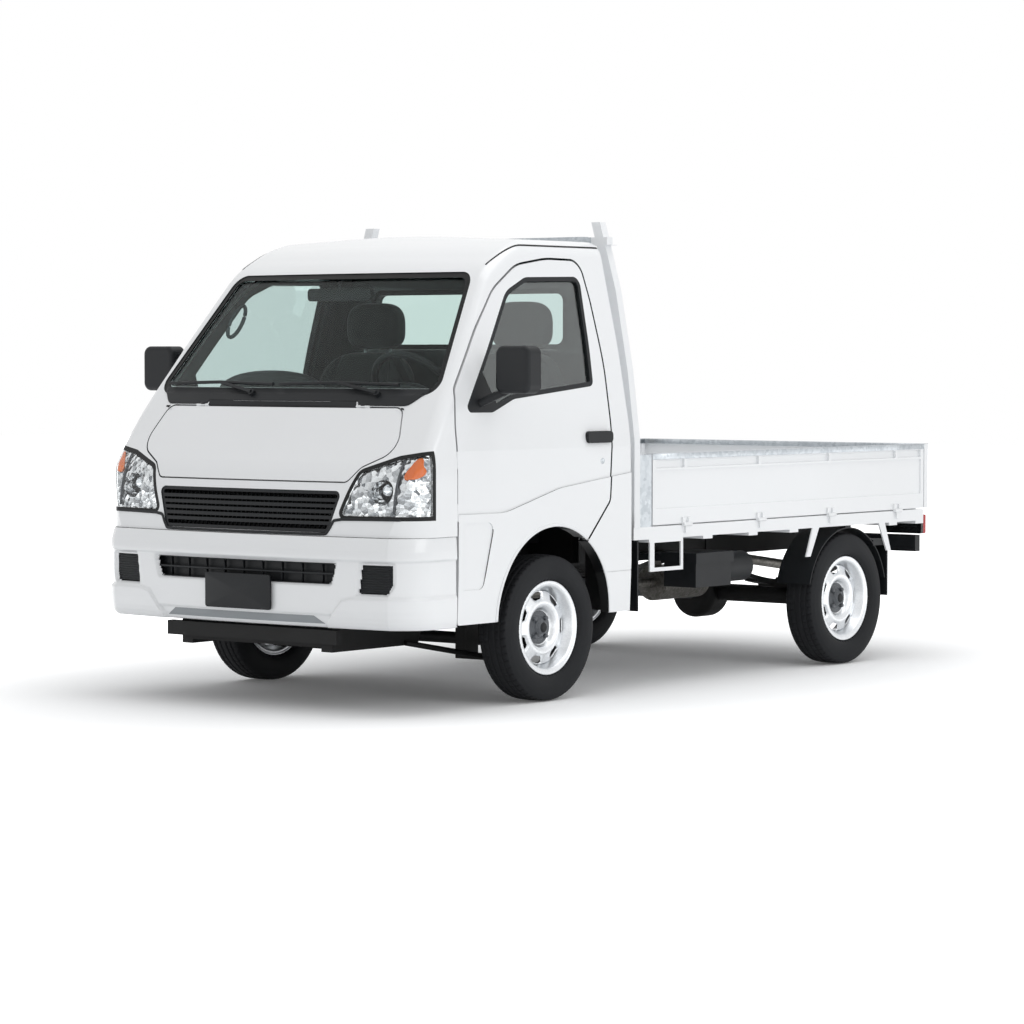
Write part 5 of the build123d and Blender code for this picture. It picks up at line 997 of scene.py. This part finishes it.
# floor, light and camera
floorLook = {"half": 30.0, "z": -0.0006, "colour": "#FBFCFD", "glow": 0.07,
             "spread": (0.9, 0.55, 1.0), "glowFar": 0.9,
             "rise": (0.9, 2.6)}  # the floor is its own white again away from the truck
floor = bpy.data.objects.new("studioFloor", bpy.data.meshes.new("studioFloor"))
reachOut = floorLook["half"]
floor.data.from_pydata([(-reachOut, -reachOut, floorLook["z"]), (reachOut, -reachOut, floorLook["z"]),
                        (reachOut, reachOut, floorLook["z"]), (-reachOut, reachOut, floorLook["z"])], [],
                        [(0, 1, 2, 3)])
bpy.context.scene.collection.objects.link(floor)
floorPaint = bpy.data.materials.new("studioFloorPaint")
floorPaint.use_nodes = True
tree = floorPaint.node_tree
tree.nodes.clear()
ray = addNode(tree, "LightPath")
seen = addNode(
    tree, "Math", {"operation": "MAXIMUM"},
    {0: ray.outputs["Is Camera Ray"], 1: ray.outputs["Is Glossy Ray"]})
seen = addNode(
    tree, "Math", {"operation": "MAXIMUM"}, {0: seen.outputs[0], 1: ray.outputs["Is Transmission Ray"]})
spot = addNode(
    tree, "VectorMath", {"operation": "MULTIPLY"},
    {0: addNode(tree, "TexCoord").outputs["Object"], 1: floorLook["spread"]})
away = addNode(tree, "VectorMath", {"operation": "LENGTH"}, {0: spot.outputs[0]})
rise = addNode(tree, "MapRange", {"interpolation_type": "SMOOTHSTEP"}, {
    "Value": away.outputs["Value"], "From Min": floorLook["rise"][0], "From Max": floorLook["rise"][1],
    "To Min": floorLook["glow"], "To Max": floorLook["glowFar"]})
glow = addNode(tree, "Math", {"operation": "MULTIPLY"}, {0: seen.outputs[0], 1: rise.outputs["Result"]})
paint = addNode(tree, "BsdfDiffuse", sockets={"Color": hexToLinear(floorLook["colour"])})
lift = addNode(tree, "Emission", sockets={"Color": (1, 1, 1, 1), "Strength": glow.outputs[0]})
both = addNode(tree, "AddShader", sockets={0: paint.outputs[0], 1: lift.outputs[0]})
addNode(tree, "OutputMaterial", sockets={"Surface": both.outputs[0]})
floor.data.materials.append(floorPaint)

skyLook = {"low": 0.40, "high": 0.80}
world = bpy.data.worlds.new("studioWorld")
bpy.context.scene.world = world
world.use_nodes = True
tree = world.node_tree
tree.nodes.clear()
ray = addNode(tree, "LightPath")
seen = addNode(
    tree, "Math", {"operation": "MAXIMUM"},
    {0: ray.outputs["Is Camera Ray"], 1: ray.outputs["Is Transmission Ray"]})
seen = addNode(tree, "Math", {"operation": "MAXIMUM"}, {0: seen.outputs[0], 1: ray.outputs["Is Glossy Ray"]})
height = addNode(tree, "SeparateXYZ", sockets={0: addNode(tree, "TexCoord").outputs["Generated"]})
strength = addNode(tree, "MapRange", sockets={
    "Value": height.outputs["Z"], "From Min": -0.1, "From Max": 0.9, "To Min": skyLook["low"],
    "To Max": skyLook["high"]})
mixed = addNode(
    tree, "Mix", {"data_type": "FLOAT"}, {0: seen.outputs[0], 2: strength.outputs["Result"], 3: 1.0})
sky = addNode(tree, "Background", sockets={"Color": (1, 1, 1, 1), "Strength": mixed.outputs[0]})
addNode(tree, "OutputWorld", sockets={"Surface": sky.outputs[0]})

lampTable = (
    ("topSoftbox", (1.2, 0.4, 6.0), (0.0, 0.0, 0.5), 4.0, 75.0),
    ("sideSoftbox", (7.5, -1.0, 3.5), (0.0, 0.0, 0.7), 4.0, 90.0),
)
for name, place, aim, size, power in lampTable:
    light = bpy.data.lights.new(name, "AREA")
    light.size, light.energy = size, power
    lamp = bpy.data.objects.new(name, light)
    lamp.location = place
    gaze = np.array(aim) - np.array(place)
    lamp.rotation_euler = Vector(gaze).to_track_quat("-Z", "Y").to_euler()
    bpy.context.scene.collection.objects.link(lamp)

cameraLook = {"place": (8.303, -10.638, 1.234), "turn": 38.38, "dip": 2.59, "lens": 123.05}
cameraData = bpy.data.cameras.new("photoCamera")
cameraData.lens, cameraData.sensor_width = cameraLook["lens"], 36.0
cameraData.clip_end = 200.0
camera = bpy.data.objects.new("photoCamera", cameraData)
camera.location = cameraLook["place"]
camera.rotation_euler = (radians(90 - cameraLook["dip"]), 0, radians(cameraLook["turn"]))
bpy.context.scene.collection.objects.link(camera)
bpy.context.scene.camera = camera
bpy.context.scene.view_settings.view_transform = "Standard"
print("stage, light and camera set")
